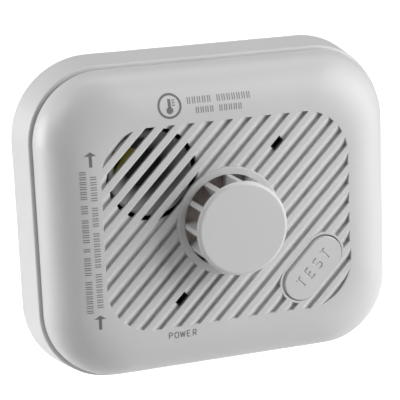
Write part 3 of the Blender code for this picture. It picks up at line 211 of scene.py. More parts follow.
# Printing on the cover.
PROBE_HEIGHT = FACE + 5.0
PRINT_RISE = 0.02
PRINT_STAGGER = 0.003
PRINT_LEVELS = 4
PRINT_SINK = 0.05
PRINT_STEP = 0.6
PRINT_OVERLAP = 0.05
ARROW_LENGTH = 5.5
ARROW_SHAFT = 1.1
ARROW_HEAD = (1.9, 1.5)  # half width and height
ARROW_HEAD_SLOPE = 0.85
ARROW_BAR = 0.38
ARROW_BAR_OVERLAP = 0.04
ARROW_TIPS = ((-51.95, 31.4), (-51.6, -29.3))
BLANK_BAR_PLACES = (0.35, 0.78)  # shares of the pitch
BLANK_BAR_WIDTH = 0.42
BLANK_WORD_GAP = 0.9
BLANK_ROWS = (  # start, letters in each word, pitch, height, upright
    ((-14.9, 46.3), (5, 7), 1.94, 2.4, False),
    ((-11.9, 42.65), (4, 5), 1.86, 2.3, False),
    ((-55.05, -28.7), (7, 4, 1, 5, 2, 6), 1.81, 2.4, True),
    ((-51.3, -26.9), (7, 7, 4, 5), 1.93, 2.3, True),
)
LAMP_WORD_CENTRE = (-20.3, -41.0)
LAMP_WORD_SIZE = 2.3
LAMP_WORD_PITCH = 2.35
LAMP_WORD_STROKE = 0.42
SYMBOL_CENTRE = (-21.25, 45.0)
SYMBOL_RING_RADII = (3.95, 4.35)
SYMBOL_RING_STROKE = 0.45
SYMBOL_STEM = (-1.6, 2.5)
SYMBOL_STEM_SIDE = 0.28
SYMBOL_STEM_STROKE = 0.6
SYMBOL_BULB_RADIUS = 1.25
SYMBOL_TICKS = (0.2, 1.1, 2.0)
SYMBOL_TICK_REACH = (1.0, 2.1)
SYMBOL_TICK_STROKE = 0.4

# Mounting base, with its back on the wall.
BASE_BACK = (BASE_HIGH.x, BASE_HIGH.y, 30.3)
BASE_RIM = (70.0, 59.3, 27.4)
BASE_DEPTH = 16.0
BASE_WALL = 2.6
BASE_BACK_ROUND = 0.5
BASE_EDGE_ROUND = 0.7
BASE_EDGE_LEAN = 0.14
BASE_LIP = 0.3
BACK_PLATE = 2.2
BACK_PLATE_SHARE = 0.14  # its height as a share of the base's depth
BACK_CUT = (-1.0, 4.0)
HOOK_X = 58.0
HOOK_SPANS = ((24.0, 30.0), (-14.0, -8.0))
HOOK_NECK_HALF = 1.5
HOOK_NECK_LOW = 10.0
HOOK_HEAD_HALF = 3.5
HOOK_HEAD = (18.6, 20.0)
HOOK_OVERRUN = 0.4
BASE_POSTS = (((-6.0, -36.0), 3.0, 12.9), ((-43.0, -25.8), 2.6, 6.0), ((-9.0, -25.8), 2.6, 6.0))
POST_SIDES = 40
POST_HOLE_RADIUS = 1.6
CABLE_ENTRY = ((-40.0, -12.0), (-40.0, -29.0))
WALL_SLOT_RADIUS = 2.2
WALL_SLOT_ENDS = (9.0, 15.0)
WALL_SLOT_HEIGHTS = (34.0, -26.3)
CLIP_PIVOT = (middle(PIN_LOW.y, PIN_HIGH.y), middle(PIN_LOW.z, PIN_HIGH.z))
CLIP_LUG_SPAN = (CLIP_HIGH.x + 0.6, CLIP_HIGH.x + 3.4)
CLIP_LUG_HALF = 2.6
PIN_HOLE_RADIUS = 1.3
PIN_HOLE_HALF = 12.0
CLIP_WINDOW = (((-6.6, 6.6), (-64.0, -56.0)), (5.0, 12.0))

# Stage, camera and lights, in metres and watts.
FLOOR_HEIGHT = -0.312
FLOOR_REACH = 12.0
CAMERA_PLACE = (-0.2024, -0.5832, 0.1474)
CAMERA_FORWARD = (0.3197, 0.9189, -0.2312)
CAMERA_UP = (0.1154, 0.2044, 0.9720)
CAMERA_LENS = 146.77
CAMERA_SENSOR = 36.0
WORLD_STRENGTH = 0.04
LIT_POINT = (0.0, -0.03, 0.0)
SOFTBOXES = (  # name, place, size, power
    ("key", (1.0, -0.8, 0.78), (1.1, 1.1), 14.0),
    ("right", (1.2, -0.7, 0.1), (1.3, 1.1), 13.6),
    ("left_top", (-1.0, -0.1, 0.9), (0.7, 0.7), 6.6),
    ("left_back", (-1.2, 0.6, 0.2), (0.7, 0.7), 13.2),
)
FLOOR_LIGHT_PLACE = (0.75, 2.2, 1.2)
FLOOR_LIGHT_AIM = (0.75, 2.2, 0.0)
FLOOR_LIGHT_SIZE = (1.3, 4.0)
FLOOR_LIGHT_POWER = 35.0
FLOOR_LIGHT_SPREAD = 60
FLOOR_LIGHT_TURN = -19


# ---------------------------------------------------------------- outlines in plan


def rounded_rectangle(half_width, half_height, radius, steps=20):
    corners = ((1, 1, 0), (-1, 1, 90), (-1, -1, 180), (1, -1, 270))
    points = []
    for side_x, side_y, start in corners:
        centre_x = side_x * (half_width - radius)
        centre_y = side_y * (half_height - radius)
        for step in range(steps + 1):
            angle = math.radians(start + 90 * step / steps)
            points.append((centre_x + radius * math.cos(angle), centre_y + radius * math.sin(angle)))
    return points


def circle(radius, sides, centre=(0.0, 0.0)):
    turn = 2 * math.pi / sides
    return [
        (centre[0] + radius * math.cos(i * turn), centre[1] + radius * math.sin(i * turn))
        for i in range(sides)
    ]


def stadium(radius, low_end=BUTTON_LOW_END, high_end=BUTTON_HIGH_END, steps=24):
    """Outline of a round-ended bar between two ends; the button's, unless others are given."""
    heading = math.atan2(high_end[1] - low_end[1], high_end[0] - low_end[0])
    points = []
    for centre, start in ((high_end, heading - math.pi / 2), (low_end, heading + math.pi / 2)):
        for step in range(steps + 1):
            angle = start + math.pi * step / steps
            points.append((centre[0] + radius * math.cos(angle), centre[1] + radius * math.sin(angle)))
    return points


def shifted_stadium(radius, shift):
    return [(x + shift[0], y + shift[1]) for x, y in stadium(radius)]


def rectangle(span_x, span_y):
    return [
        (span_x[0], span_y[0]),
        (span_x[1], span_y[0]),
        (span_x[1], span_y[1]),
        (span_x[0], span_y[1]),
    ]


def along_rib_rectangle(along, across, length, width):
    points = []
    for sign_along, sign_across in ((-1, -1), (-1, 1), (1, 1), (1, -1)):
        point = ALONG_RIBS * (along + sign_along * length / 2)
        point += ACROSS_RIBS * (across + sign_across * width / 2)
        points.append((point.x, point.y))
    return points


def inset(outline, amount):
    half_width, half_height, radius = outline
    return (half_width - amount, half_height - amount, radius - amount)


def interpolate(low, high, share):
    return [a + (b - a) * share for a, b in zip(low, high)]


def quarter_round(radius, steps):
    """Offsets in and up of a quarter circle, from upright at the side to level on top."""
    angles = [math.pi / 2 * step / steps for step in range(steps + 1)]
    return [(radius * (1 - math.cos(a)), radius * (1 - math.sin(a))) for a in angles]


# ---------------------------------------------------------------- meshes


def lifted(outline, height):
    return [(x, y, height) for x, y in outline]


def add_loft(shape, rings, closed=False):
    rows = [[shape.verts.new(point) for point in ring] for ring in rings]
    pairs = list(zip(rows, rows[1:]))
    if closed:
        pairs.append((rows[-1], rows[0]))
    for lower, upper in pairs:
        for i, vertex in enumerate(lower):
            j = (i + 1) % len(lower)
            shape.faces.new((vertex, lower[j], upper[j], upper[i]))
    if not closed:
        shape.faces.new(list(reversed(rows[0])))
        shape.faces.new(rows[-1])


def solid(name, rings, closed=False):
    return solids(name, [rings], closed)


def solids(name, lofts, closed=False):
    """One mesh in plan from several lofts that don't touch."""
    shape = bmesh.new()
    for rings in lofts:
        add_loft(shape, rings, closed)
    bmesh.ops.recalc_face_normals(shape, faces=shape.faces)
    mesh = bpy.data.meshes.new(name)
    shape.to_mesh(mesh)
    shape.free()
    return mesh


def prism(name, outline, low, high):
    return solid(name, [lifted(outline, low), lifted(outline, high)])


def turned(name, profile, sides=ROUND_SIDES, centre=(0.0, 0.0), closed=False):
    return solid(name, [lifted(circle(radius, sides, centre), z) for radius, z in profile], closed)


def combined(mesh, *changes):
    """The mesh after a list of Boolean changes, each an operation and another mesh."""
    body = bpy.data.objects.new(mesh.name, mesh)
    bpy.context.scene.collection.objects.link(body)
    tools = []
    for operation, other in changes:
        tool = bpy.data.objects.new(other.name, other)
        bpy.context.scene.collection.objects.link(tool)
        modifier = body.modifiers.new(other.name, "BOOLEAN")
        modifier.operation = operation
        modifier.solver = "EXACT"
        modifier.object = tool
        tools.append(tool)
    bpy.context.view_layer.update()
    graph = bpy.context.evaluated_depsgraph_get()
    result = bpy.data.meshes.new_from_object(body.evaluated_get(graph))
    result.name = mesh.name
    for item in [body, *tools]:
        bpy.data.objects.remove(item)
    return result


def piece(name, mesh, body, material, replaced=(), sharp=30, weighted=False):
    """Stands a plan mesh up in the frame and puts it on a body."""
    mesh.transform(PLAN_TO_WORLD)
    mesh.materials.clear()
    mesh.materials.append(material)
    mesh.shade_smooth()
    mesh.set_sharp_from_angle(angle=math.radians(sharp))
    item = bpy.data.objects.new(name, mesh)
    bpy.context.scene.collection.objects.link(item)
    if weighted:
        level = item.modifiers.new("level_normals", "WEIGHTED_NORMAL")
        level.keep_sharp = True
        level.weight = 100
    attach(item, body)
    if replaced:
        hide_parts(*replaced)
    return item


def dress(node, material):
    """Gives a CAD node its finished material."""
    mesh = NODES[node].data
    mesh.materials.clear()
    mesh.materials.append(material)


# ---------------------------------------------------------------- materials


TONE_DRIFT = 0.012
GLOSS_DRIFT = 0.05
GRAIN_DEPTH = 0.00003
SMOOTH_DEPTH = 0.00002
INK_DEPTH = 0.00001


def new_material(name, colour, roughness, metallic=0.0):
    material = bpy.data.materials.new(name)
    material.use_nodes = True
    tree = material.node_tree
    shader = tree.nodes["Principled BSDF"]
    shader.inputs["Base Color"].default_value = (*colour, 1.0)
    shader.inputs["Roughness"].default_value = roughness
    shader.inputs["Metallic"].default_value = metallic
    return material, tree, shader


def object_noise(tree, scale, detail=3.0, stretch=(1.0, 1.0, 1.0)):
    """Noise fixed to the piece, at so many grains per metre."""
    place = tree.nodes.new("ShaderNodeTexCoord")
    mapping = tree.nodes.new("ShaderNodeMapping")
    mapping.inputs["Scale"].default_value = stretch
    noise = tree.nodes.new("ShaderNodeTexNoise")
    noise.inputs["Scale"].default_value = scale
    noise.inputs["Detail"].default_value = detail
    tree.links.new(place.outputs["Object"], mapping.inputs["Vector"])
    tree.links.new(mapping.outputs["Vector"], noise.inputs["Vector"])
    return noise.outputs["Fac"]


def ramp(tree, value, stops):
    node = tree.nodes.new("ShaderNodeValToRGB")
    tree.links.new(value, node.inputs["Fac"])
    elements = node.color_ramp.elements
    elements[0].position, elements[0].color = stops[0][0], (*stops[0][1], 1.0)
    elements[1].position, elements[1].color = stops[-1][0], (*stops[-1][1], 1.0)
    for position, colour in stops[1:-1]:
        elements.new(position).color = (*colour, 1.0)
    return node.outputs["Color"]


def grey(level):
    return (level, level, level)


def shaded(colour, factor):
    """The colour made darker or, with a factor above one, paler."""
    return tuple(channel * factor for channel in colour)


def two_tones(low, high):
    """Stops of a ramp over the middle of a noise's range."""
    return ((0.3, low), (0.7, high))


def add_bump(tree, shader, height, strength, distance):
    bump = tree.nodes.new("ShaderNodeBump")
    bump.inputs["Strength"].default_value = strength
    bump.inputs["Distance"].default_value = distance
    tree.links.new(height, bump.inputs["Height"])
    tree.links.new(bump.outputs["Normal"], shader.inputs["Normal"])


def moulded_plastic(name, colour, roughness=0.42, grain=2600.0, strength=0.12):
    """Injection-moulded plastic: a fine spark-eroded grain with a little drift in tone and gloss."""
    material, tree, shader = new_material(name, colour, roughness)
    drift = object_noise(tree, scale=28.0, detail=2.0)
    tones = two_tones(shaded(colour, 1 - TONE_DRIFT), shaded(colour, 1 + TONE_DRIFT))
    tree.links.new(ramp(tree, drift, tones), shader.inputs["Base Color"])
    fine = object_noise(tree, scale=grain, detail=4.0)
    gloss = ramp(tree, fine, two_tones(grey(roughness - GLOSS_DRIFT), grey(roughness + GLOSS_DRIFT)))
    tree.links.new(gloss, shader.inputs["Roughness"])
    add_bump(tree, shader, fine, strength, distance=GRAIN_DEPTH)
    return material


def sheet_metal(name, colour, roughness):
    """Drawn or rolled metal: fine streaks along one way, with dulled patches."""
    material, tree, shader = new_material(name, colour, roughness, metallic=1.0)
    streaks = object_noise(tree, scale=900.0, detail=4.0, stretch=(1.0, 1.0, 14.0))
    tones = two_tones(shaded(colour, 0.86), colour)
    tree.links.new(ramp(tree, streaks, tones), shader.inputs["Base Color"])
    patches = object_noise(tree, scale=260.0, detail=3.0)
    bright, dulled = grey(roughness - 0.08), grey(roughness + 0.12)
    tree.links.new(ramp(tree, patches, ((0.35, bright), (0.65, dulled))), shader.inputs["Roughness"])
    add_bump(tree, shader, streaks, strength=0.15, distance=SMOOTH_DEPTH)
    return material


def horn_plastic(name, rim_colour, throat_shade_colour):
    """Matt plastic of the funnel, with painted shade: its colour darkens from the rim towards the throat.
    """
    material, tree, shader = new_material(name, rim_colour, roughness=0.6)
    scale = 1 / (HORN_RADIUS * MM)
    place = tree.nodes.new("ShaderNodeTexCoord")
    mapping = tree.nodes.new("ShaderNodeMapping")
    mapping.inputs["Scale"].default_value = (scale, 0.0, scale)
    across, up = HORN_CENTRE
    mapping.inputs["Location"].default_value = (-across * MM * scale, 0.0, -up * MM * scale)
    gradient = tree.nodes.new("ShaderNodeTexGradient")
    gradient.gradient_type = "SPHERICAL"
    tree.links.new(place.outputs["Object"], mapping.inputs["Vector"])
    tree.links.new(mapping.outputs["Vector"], gradient.inputs["Vector"])
    # Painted shade: a radial gradient about the horn's centre takes the colour from the rim's grey to near
    # black at the throat.
    halfway = interpolate(rim_colour, throat_shade_colour, 0.35)
    stops = ((0.04, rim_colour), (0.3, halfway), (0.55, throat_shade_colour))
    tree.links.new(ramp(tree, gradient.outputs["Fac"], stops), shader.inputs["Base Color"])
    fine = object_noise(tree, scale=2200.0, detail=4.0)
    add_bump(tree, shader, fine, strength=0.12, distance=GRAIN_DEPTH)
    return material


def clear_lens(name, colour):
    """Tinted resin with a glossy coat, slightly clouded."""
    material, tree, shader = new_material(name, colour, roughness=0.08)
    shader.inputs["Coat Weight"].default_value = 0.6
    cloud = object_noise(tree, scale=700.0, detail=2.0)
    tones = two_tones(shaded(colour, 0.6), colour)
    tree.links.new(ramp(tree, cloud, tones), shader.inputs["Base Color"])
    add_bump(tree, shader, cloud, strength=0.05, distance=SMOOTH_DEPTH)
    return material


def phenolic_board(name, colour):
    """Resin-bonded paper: mottled, with faint lines of fibre."""
    material, tree, shader = new_material(name, colour, roughness=0.5)
    fibre = object_noise(tree, scale=420.0, detail=5.0, stretch=(6.0, 1.0, 1.0))
    stops = ((0.25, shaded(colour, 0.75)), (0.5, colour), (0.75, shaded(colour, 1.3)))
    tree.links.new(ramp(tree, fibre, stops), shader.inputs["Base Color"])
    add_bump(tree, shader, fibre, strength=0.2, distance=GRAIN_DEPTH)
    return material


def printed_ink(name, colour):
    """Pad-printed ink with slightly uneven cover."""
    material, tree, shader = new_material(name, colour, roughness=0.55)
    cover = object_noise(tree, scale=1500.0, detail=3.0)
    stops = ((0.35, colour), (0.8, shaded(colour, 1.25)))
    tree.links.new(ramp(tree, cover, stops), shader.inputs["Base Color"])
    add_bump(tree, shader, cover, strength=0.1, distance=INK_DEPTH)
    return material


def make_materials():
    return {
        "cover": moulded_plastic("white_cover_plastic", (0.62, 0.62, 0.62)),
        "guard": moulded_plastic("white_guard_plastic", (0.62, 0.62, 0.62), 0.40),
        "button": moulded_plastic("white_button_plastic", (0.62, 0.62, 0.62), 0.40),
        "base": moulded_plastic("white_base_plastic", (0.64, 0.64, 0.64), 0.42),
        # The horn's second colour is painted shade at its throat.
        "horn": horn_plastic("horn_plastic", (0.50, 0.50, 0.50), (0.05, 0.05, 0.05)),
        # Painted shade: the case parts are dark grey so that the closed inside of the housing reads dark;
        # the plastic itself would be white.
        "case": moulded_plastic("case_plastic_painted_shade", (0.10, 0.10, 0.10), 0.55, 1800.0, 0.2),
        # On the two LED shrouds this black is painted shade lining their slots.
        "black": moulded_plastic("black_plastic", (0.008, 0.008, 0.008), 0.5, 1800.0, 0.2),
        "block": moulded_plastic("terminal_plastic", (0.58, 0.54, 0.44), 0.5),
        "board": phenolic_board("phenolic_board", (0.110, 0.078, 0.058)),
        "small_board": phenolic_board("varnished_board", (0.400, 0.335, 0.305)),
        "brass": sheet_metal("sheet_brass", (0.62, 0.50, 0.16), 0.34),
        "dull_brass": sheet_metal("dull_brass", (0.30, 0.27, 0.06), 0.42),
        "steel": sheet_metal("plated_steel", (0.66, 0.66, 0.64), 0.28),
        "red": clear_lens("red_lens", (0.35, 0.02, 0.015)),
        "green": clear_lens("green_lens", (0.03, 0.25, 0.05)),
        "sleeve": moulded_plastic("capacitor_sleeve", (0.03, 0.05, 0.14), 0.3, 900.0, 0.05),
        "resin": moulded_plastic("yellow_resin", (0.60, 0.40, 0.05), 0.35, 900.0, 0.05),
        "bead": moulded_plastic("thermistor_bead", (0.03, 0.02, 0.015), 0.25, 900.0, 0.05),
        "jacket": moulded_plastic("battery_jacket", (0.05, 0.06, 0.07), 0.32, 900.0, 0.05),
        "ink": printed_ink("grey_ink", (0.16, 0.16, 0.155)),
        "faint_ink": printed_ink("faint_grey_ink", (0.24, 0.24, 0.235)),
    }


# ---------------------------------------------------------------- front cover


def pillow_rings(face_outline, rim_outline, face_depth, rim_depth, steps):
    """Rings from the flat face down to the rim, along a quarter of a superellipse."""
    rings = []
    power = 2 / FACE_ROUNDNESS
    for step in range(steps + 1):
        angle = math.pi / 2 * step / steps
        outward = math.sin(angle) ** power
        fallen = 1 - math.cos(angle) ** power
        outline = interpolate(face_outline, rim_outline, outward)
        rings.append(lifted(rounded_rectangle(*outline), face_depth + (rim_depth - face_depth) * fallen))
    return rings


def pillow(name):
    """The cover without its openings: a flat panel with softly falling sides, hollow at the back."""
    flat = inset(PANEL, -FLAT_MARGIN)
    outer = pillow_rings(flat, COVER_RIM, FACE, COVER_LOW.z, steps=28)
    inner = pillow_rings(PANEL, inset(COVER_RIM, COVER_WALL), PANEL_BACK, COVER_LOW.z, steps=14)
    return solid(name, outer + list(reversed(inner)))


def groove_section(index):
    """Across and depth of one groove: a rounded near edge, a falling floor and a steep far wall."""
    far = FIRST_GROOVE + RIB_PITCH * index
    near = far - GROOVE_WIDTH
    r = EDGE_ROUND
    first_break, second_break = NEAR_EDGE_BREAKS
    shallow = FACE - r * second_break
    fall = shallow - GROOVE_FLOOR
    slope = [(near + GROOVE_WIDTH * across, shallow - fall * down) for across, down in GROOVE_SLOPE]
    foot_rise, wall_rise = GROOVE_FOOT_RISES
    return (
        (near - r, GROOVE_CUT_TOP),
        (near - r, FACE),
        (near - r * first_break, FACE - r * first_break),
        (near + r * second_break, shallow),
        *slope,
        (far - GROOVE_FOOT, GROOVE_FLOOR),
        (far - GROOVE_FOOT * EDGE_BREAK, GROOVE_FLOOR + foot_rise),
        (far, GROOVE_FLOOR + wall_rise),
        (far, FACE - r),
        (far + r * EDGE_BREAK, FACE - r * EDGE_BREAK),
        (far + r, FACE),
        (far + r, GROOVE_CUT_TOP),
    )


def groove_centre(index):
    return FIRST_GROOVE + RIB_PITCH * index - GROOVE_WIDTH / 2


def slot_section(index):
    """Across and depth of the slot that goes through the horn's part of a groove."""
    far = FIRST_GROOVE + RIB_PITCH * index + HORN_SLOT_SHIFT
    near = far - HORN_SLOT_WIDTH
    return ((near, SLOT_CUT_TOP), (near, SLOT_CUT_LOW), (far, SLOT_CUT_LOW), (far, SLOT_CUT_TOP))


def bars(name, sections):
    """Long bars along the ribs, one for each section."""
    lofts = []
    for section in sections:
        rings = []
        for end in (-CUT_HALF_LENGTH, CUT_HALF_LENGTH):
            points = [ACROSS_RIBS * across + ALONG_RIBS * end for across, _ in section]
            rings.append([(p.x, p.y, depth) for p, (_, depth) in zip(points, section)])
        lofts.append(rings)
    return solids(name, lofts)


def rounded_cutter(name, outline_at, low, top, flare=1):
    """A cutter whose outline widens over a rounded edge at the face or, with -1, narrows there.

    outline_at gives the outline for an offset outwards.
    """
    levels = (
        (0.0, low),
        (0.0, FACE - EDGE_ROUND),
        (EDGE_ROUND * EDGE_BREAK, FACE - EDGE_ROUND * EDGE_BREAK),
        (EDGE_ROUND, FACE),
        (EDGE_ROUND, top),
    )
    return solid(name, [lifted(outline_at(flare * offset), depth) for offset, depth in levels])


def panel_area(name, amount):
    return rounded_cutter(name, lambda offset: rounded_rectangle(*inset(PANEL, amount - offset)),
                          AREA_CUT_LOW, AREA_CUT_TOP)


def guard_land():
    """Flat ring left standing between the grooves, around the sensor guard."""
    radius = GUARD_COLLAR_RADIUS + GUARD_LAND_MARGIN
    return rounded_cutter("guard_land", lambda offset: circle(radius + offset, ROUND_SIDES),
                          LAND_CUT_LOW, LAND_CUT_TOP, flare=-1)


def button_land():
    """Flat ring left standing between the grooves, around the test button."""
    return rounded_cutter(
        "button_land", lambda offset: shifted_stadium(BUTTON_LAND_RADIUS + offset, BUTTON_SHIFT),
        LAND_CUT_LOW, LAND_CUT_TOP, flare=-1)


def cut_grooves():
    """Grooves over the panel around the two lands, and the last ones in the corner past the button."""
    grooves = combined(bars("grooves", [groove_section(i) for i in GROOVES]),
                       ("INTERSECT", panel_area("panel_area", GROOVE_AREA_INSET)),
                       ("DIFFERENCE", guard_land()), ("DIFFERENCE", button_land()))
    corner = combined(bars("corner_grooves", [groove_section(i) for i in CORNER_GROOVES]),
                      ("INTERSECT", panel_area("corner_area", CORNER_AREA_INSET)))
    return [grooves, corner]


def cut_horn_openings():
    """A pocket that thins the bars over the horn, and the slots between them."""
    opening = circle(HORN_OPENING_RADIUS, HORN_OPENING_SIDES, HORN_CENTRE)
    pocket = prism("horn_pocket", opening, CUT_LOW, FACE - RIB_BAR_THICKNESS)
    area = circle(HORN_OPENING_RADIUS - HORN_SLOT_MARGIN, HORN_OPENING_SIDES, HORN_CENTRE)
    slots = combined(bars("horn_slots", [slot_section(i) for i in HORN_SLOTS]),
                     ("INTERSECT", prism("horn_area", area, HORN_AREA_LOW, AREA_CUT_TOP)),
                     ("DIFFERENCE", guard_land()))
    return pocket, slots


def cut_guard_openings():
    hole = circle(GUARD_SEAT_RADIUS + GUARD_CLEARANCE, ROUND_SIDES)
    seat = circle(GUARD_COLLAR_RADIUS + GUARD_SEAT_CLEARANCE, ROUND_SIDES)
    return [prism("guard_hole", hole, CUT_LOW, CUT_TOP),
            prism("guard_seat", seat, GUARD_FLANGE_LOW - GUARD_CLEARANCE, CUT_TOP)]


def cut_button_openings():
    moat = rounded_cutter(
        "button_moat", lambda offset: shifted_stadium(BUTTON_MOAT_RADIUS + offset, BUTTON_SHIFT),
        BUTTON_MOAT_FLOOR, CUT_TOP)
    return [moat, prism("button_hole", stadium(BUTTON_HOLE_RADIUS), CUT_LOW, CUT_TOP)]


def cut_led_slots():
    cutters = []
    for label, (along, groove) in LED_SLOTS.items():
        outline = along_rib_rectangle(along, groove_centre(groove), LED_SLOT_LENGTH, LED_SLOT_WIDTH)
        cutters.append(prism(f"{label}_slot", outline, CUT_LOW, CUT_TOP))
    return cutters


def build_cover(materials):
    pocket, slots = cut_horn_openings()
    cutters = [pocket, *cut_grooves(), slots, *cut_guard_openings(), *cut_button_openings(),
               *cut_led_slots()]
    mesh = combined(pillow("front_cover_shell"), *(("DIFFERENCE", cutter) for cutter in cutters))
    piece("front_cover_shell", mesh, "head", materials["cover"], ("front_cover",),
          weighted=True)


# ---------------------------------------------------------------- sensor guard


def guard_collar():
    """Ring around the cage, rounded outside and at its bore."""
    profile = [(GUARD_SEAT_RADIUS, GUARD_LOW.z), (GUARD_SEAT_RADIUS, GUARD_FLANGE_LOW),
               (GUARD_COLLAR_RADIUS, GUARD_FLANGE_LOW)]
    for inward, down in quarter_round(GUARD_COLLAR_ROUND, steps=4):
        profile.append((GUARD_COLLAR_RADIUS - inward, GUARD_COLLAR_TOP - down))
    for inward, down in reversed(quarter_round(GUARD_BORE_ROUND, steps=3)):
        profile.append((GUARD_BORE_RADIUS + inward, GUARD_COLLAR_TOP - down))
    profile.append((GUARD_BORE_RADIUS, GUARD_LOW.z))
    return turned("sensor_guard_cage", profile, GUARD_SIDES, closed=True)


def guard_cap():
    """Disc with a rounded edge."""
    profile = [(GUARD_RADIUS - GUARD_CAP_CHAMFER, GUARD_CAP_LOW),
               (GUARD_RADIUS, GUARD_CAP_LOW + GUARD_CAP_CHAMFER)]
    for inward, down in quarter_round(GUARD_CAP_FILLET, steps=8):
        profile.append((GUARD_RADIUS - inward, GUARD_TOP - down))
    return turned("guard_cap", profile, GUARD_SIDES)


def guard_fins():
    """Radial fins, each a stepped plate from the collar up into the cap."""
    outline = [
        (FIN_INNER_RADIUS, FIN_LOW), (FIN_LOWER_RADIUS, FIN_LOW), (FIN_LOWER_RADIUS, FIN_STEP),
        (FIN_UPPER_RADIUS, FIN_STEP), (FIN_UPPER_RADIUS, FIN_TOP), (FIN_INNER_RADIUS, FIN_TOP),
    ]
    half = FIN_THICKNESS / 2
    fins = []
    for index in range(GUARD_FINS):
        turn = Matrix.Rotation(2 * math.pi * index / GUARD_FINS, 3, "Z")
        fins.append([[turn @ Vector((radius, side, depth)) for radius, depth in outline]
                     for side in (-half, half)])
    return solids("guard_fins", fins)


def build_guard(materials):
    mesh = combined(guard_collar(), ("UNION", guard_fins()), ("UNION", guard_cap()))
    piece("sensor_guard_cage", mesh, "head", materials["guard"], ("sensor_guard",),
          weighted=True)


# ---------------------------------------------------------------- test button


def wire(path, radius, sides=10):
    """Rings of a round wire along a path."""
    rings = []
    points = [Vector(point) for point in path]
    for i, point in enumerate(points):
        ahead = points[min(i + 1, len(points) - 1)] - points[max(i - 1, 0)]
        ahead.normalize()
        side = Vector((-ahead.y, ahead.x, 0.0)).normalized()
        upward = ahead.cross(side)
        ring = []
        for step in range(sides):
            angle = 2 * math.pi * step / sides
            ring.append(point + side * (radius * math.cos(angle)) + upward * (radius * math.sin(angle)))
        rings.append(ring)
    return rings


def arc(centre, radius, start, end, steps=10):
    points = []
    for step in range(steps + 1):
        angle = math.radians(start + (end - start) * step / steps)
        points.append((centre[0] + radius[0] * math.cos(angle), centre[1] + radius[1] * math.sin(angle)))
    return points


def letter_paths(letter):
    """Strokes of a plain capital in a cell one unit high, centred on its middle."""
    bowl = [(-0.26, 0.5), *arc((0.05, 0.25), (0.24, 0.25), 90, -90), (-0.26, 0.0)]
    paths = {
        "T": [[(0.0, -0.5), (0.0, 0.5)], [(-0.3, 0.5), (0.3, 0.5)]],
        "E": [[(-0.25, -0.5), (-0.25, 0.5)], [(-0.25, 0.5), (0.25, 0.5)],
              [(-0.25, 0.02), (0.18, 0.02)], [(-0.25, -0.5), (0.27, -0.5)]],
        "S": [arc((0.0, 0.25), (0.25, 0.25), 30, 270) + arc((0.0, -0.25), (0.27, 0.25), 90, -150)[1:]],
        "P": [[(-0.26, -0.5), (-0.26, 0.5)], bowl],
        "O": [arc((0.0, 0.0), (0.34, 0.5), 0, 360, steps=20)],
        "W": [[(-0.42, 0.5), (-0.21, -0.5), (0.0, 0.4), (0.21, -0.5), (0.42, 0.5)]],
        "R": [[(-0.26, -0.5), (-0.26, 0.5)], bowl, [(0.02, 0.0), (0.28, -0.5)]],
    }
    return paths[letter]


def button_lettering(centre):
    """Wires along the strokes of the word, a little above the button's face."""
    wires = []
    for index, letter in enumerate("TEST"):
        along = (index - 1.5) * LETTER_PITCH
        for path in letter_paths(letter):
            points = []
            for x, y in path:
                place = ALONG_RIBS * (along + x * LETTER_SIZE) - ACROSS_RIBS * (y * LETTER_SIZE)
                points.append((centre[0] + place.x, centre[1] + place.y, FACE + LETTER_LIFT))
            wires.append(wire(points, LETTER_WIRE, sides=16))
    return wires


def build_button(materials):
    """The shoulder is broad at the upper left, beside the moat, and sharp at the lower right."""
    centre = interpolate(BUTTON_LOW_END, BUTTON_HIGH_END, 0.5)
    flange_low, flange_top = BUTTON_FLANGE
    rings = [lifted(stadium(radius), depth) for radius, depth in (
        (BUTTON_FLANGE_RADIUS, flange_low), (BUTTON_FLANGE_RADIUS, flange_top),
        (BUTTON_RADIUS, flange_top))]
    for inward, down in quarter_round(BUTTON_SHOULDER, steps=7):
        shift = ACROSS_RIBS * (inward / 2)
        rings.append(lifted(shifted_stadium(BUTTON_RADIUS - inward / 2, shift),
                            FACE - down * SHOULDER_DROP))
    body = solid("test_button_cap", rings)
    pin = prism("spring_pin", circle(SPRING_PIN_RADIUS, HOLE_SIDES, BUTTON_LOW_END), BUTTON_LOW.z,
                flange_low + OVERRUN)
    changes = [("UNION", pin)]
    for index, stroke in enumerate(button_lettering(centre)):
        changes.append(("DIFFERENCE", solid(f"stroke_{index}", stroke)))
    piece("test_button_cap", combined(body, *changes), "button", materials["button"],
          ("test_button",), weighted=True)


def build_return_spring(materials):
    """A coil of wire around the button's spring pin."""
    x, y = BUTTON_LOW_END
    start, end = SPRING_LOW.z + SPRING_WIRE, SPRING_HIGH.z - SPRING_WIRE
    last = SPRING_TURNS * SPRING_STEPS
    points = []
    for step in range(last + 1):
        angle = 2 * math.pi * step / SPRING_STEPS
        points.append((x + SPRING_RADIUS * math.cos(angle), y + SPRING_RADIUS * math.sin(angle),
                       start + (end - start) * step / last))
    coil = piece("return_spring_coil", solid("return_spring_coil", wire(points, SPRING_WIRE)), "head",
                 materials["steel"], ("button_spring",))
    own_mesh(coil)


# ---------------------------------------------------------------- printing on the cover


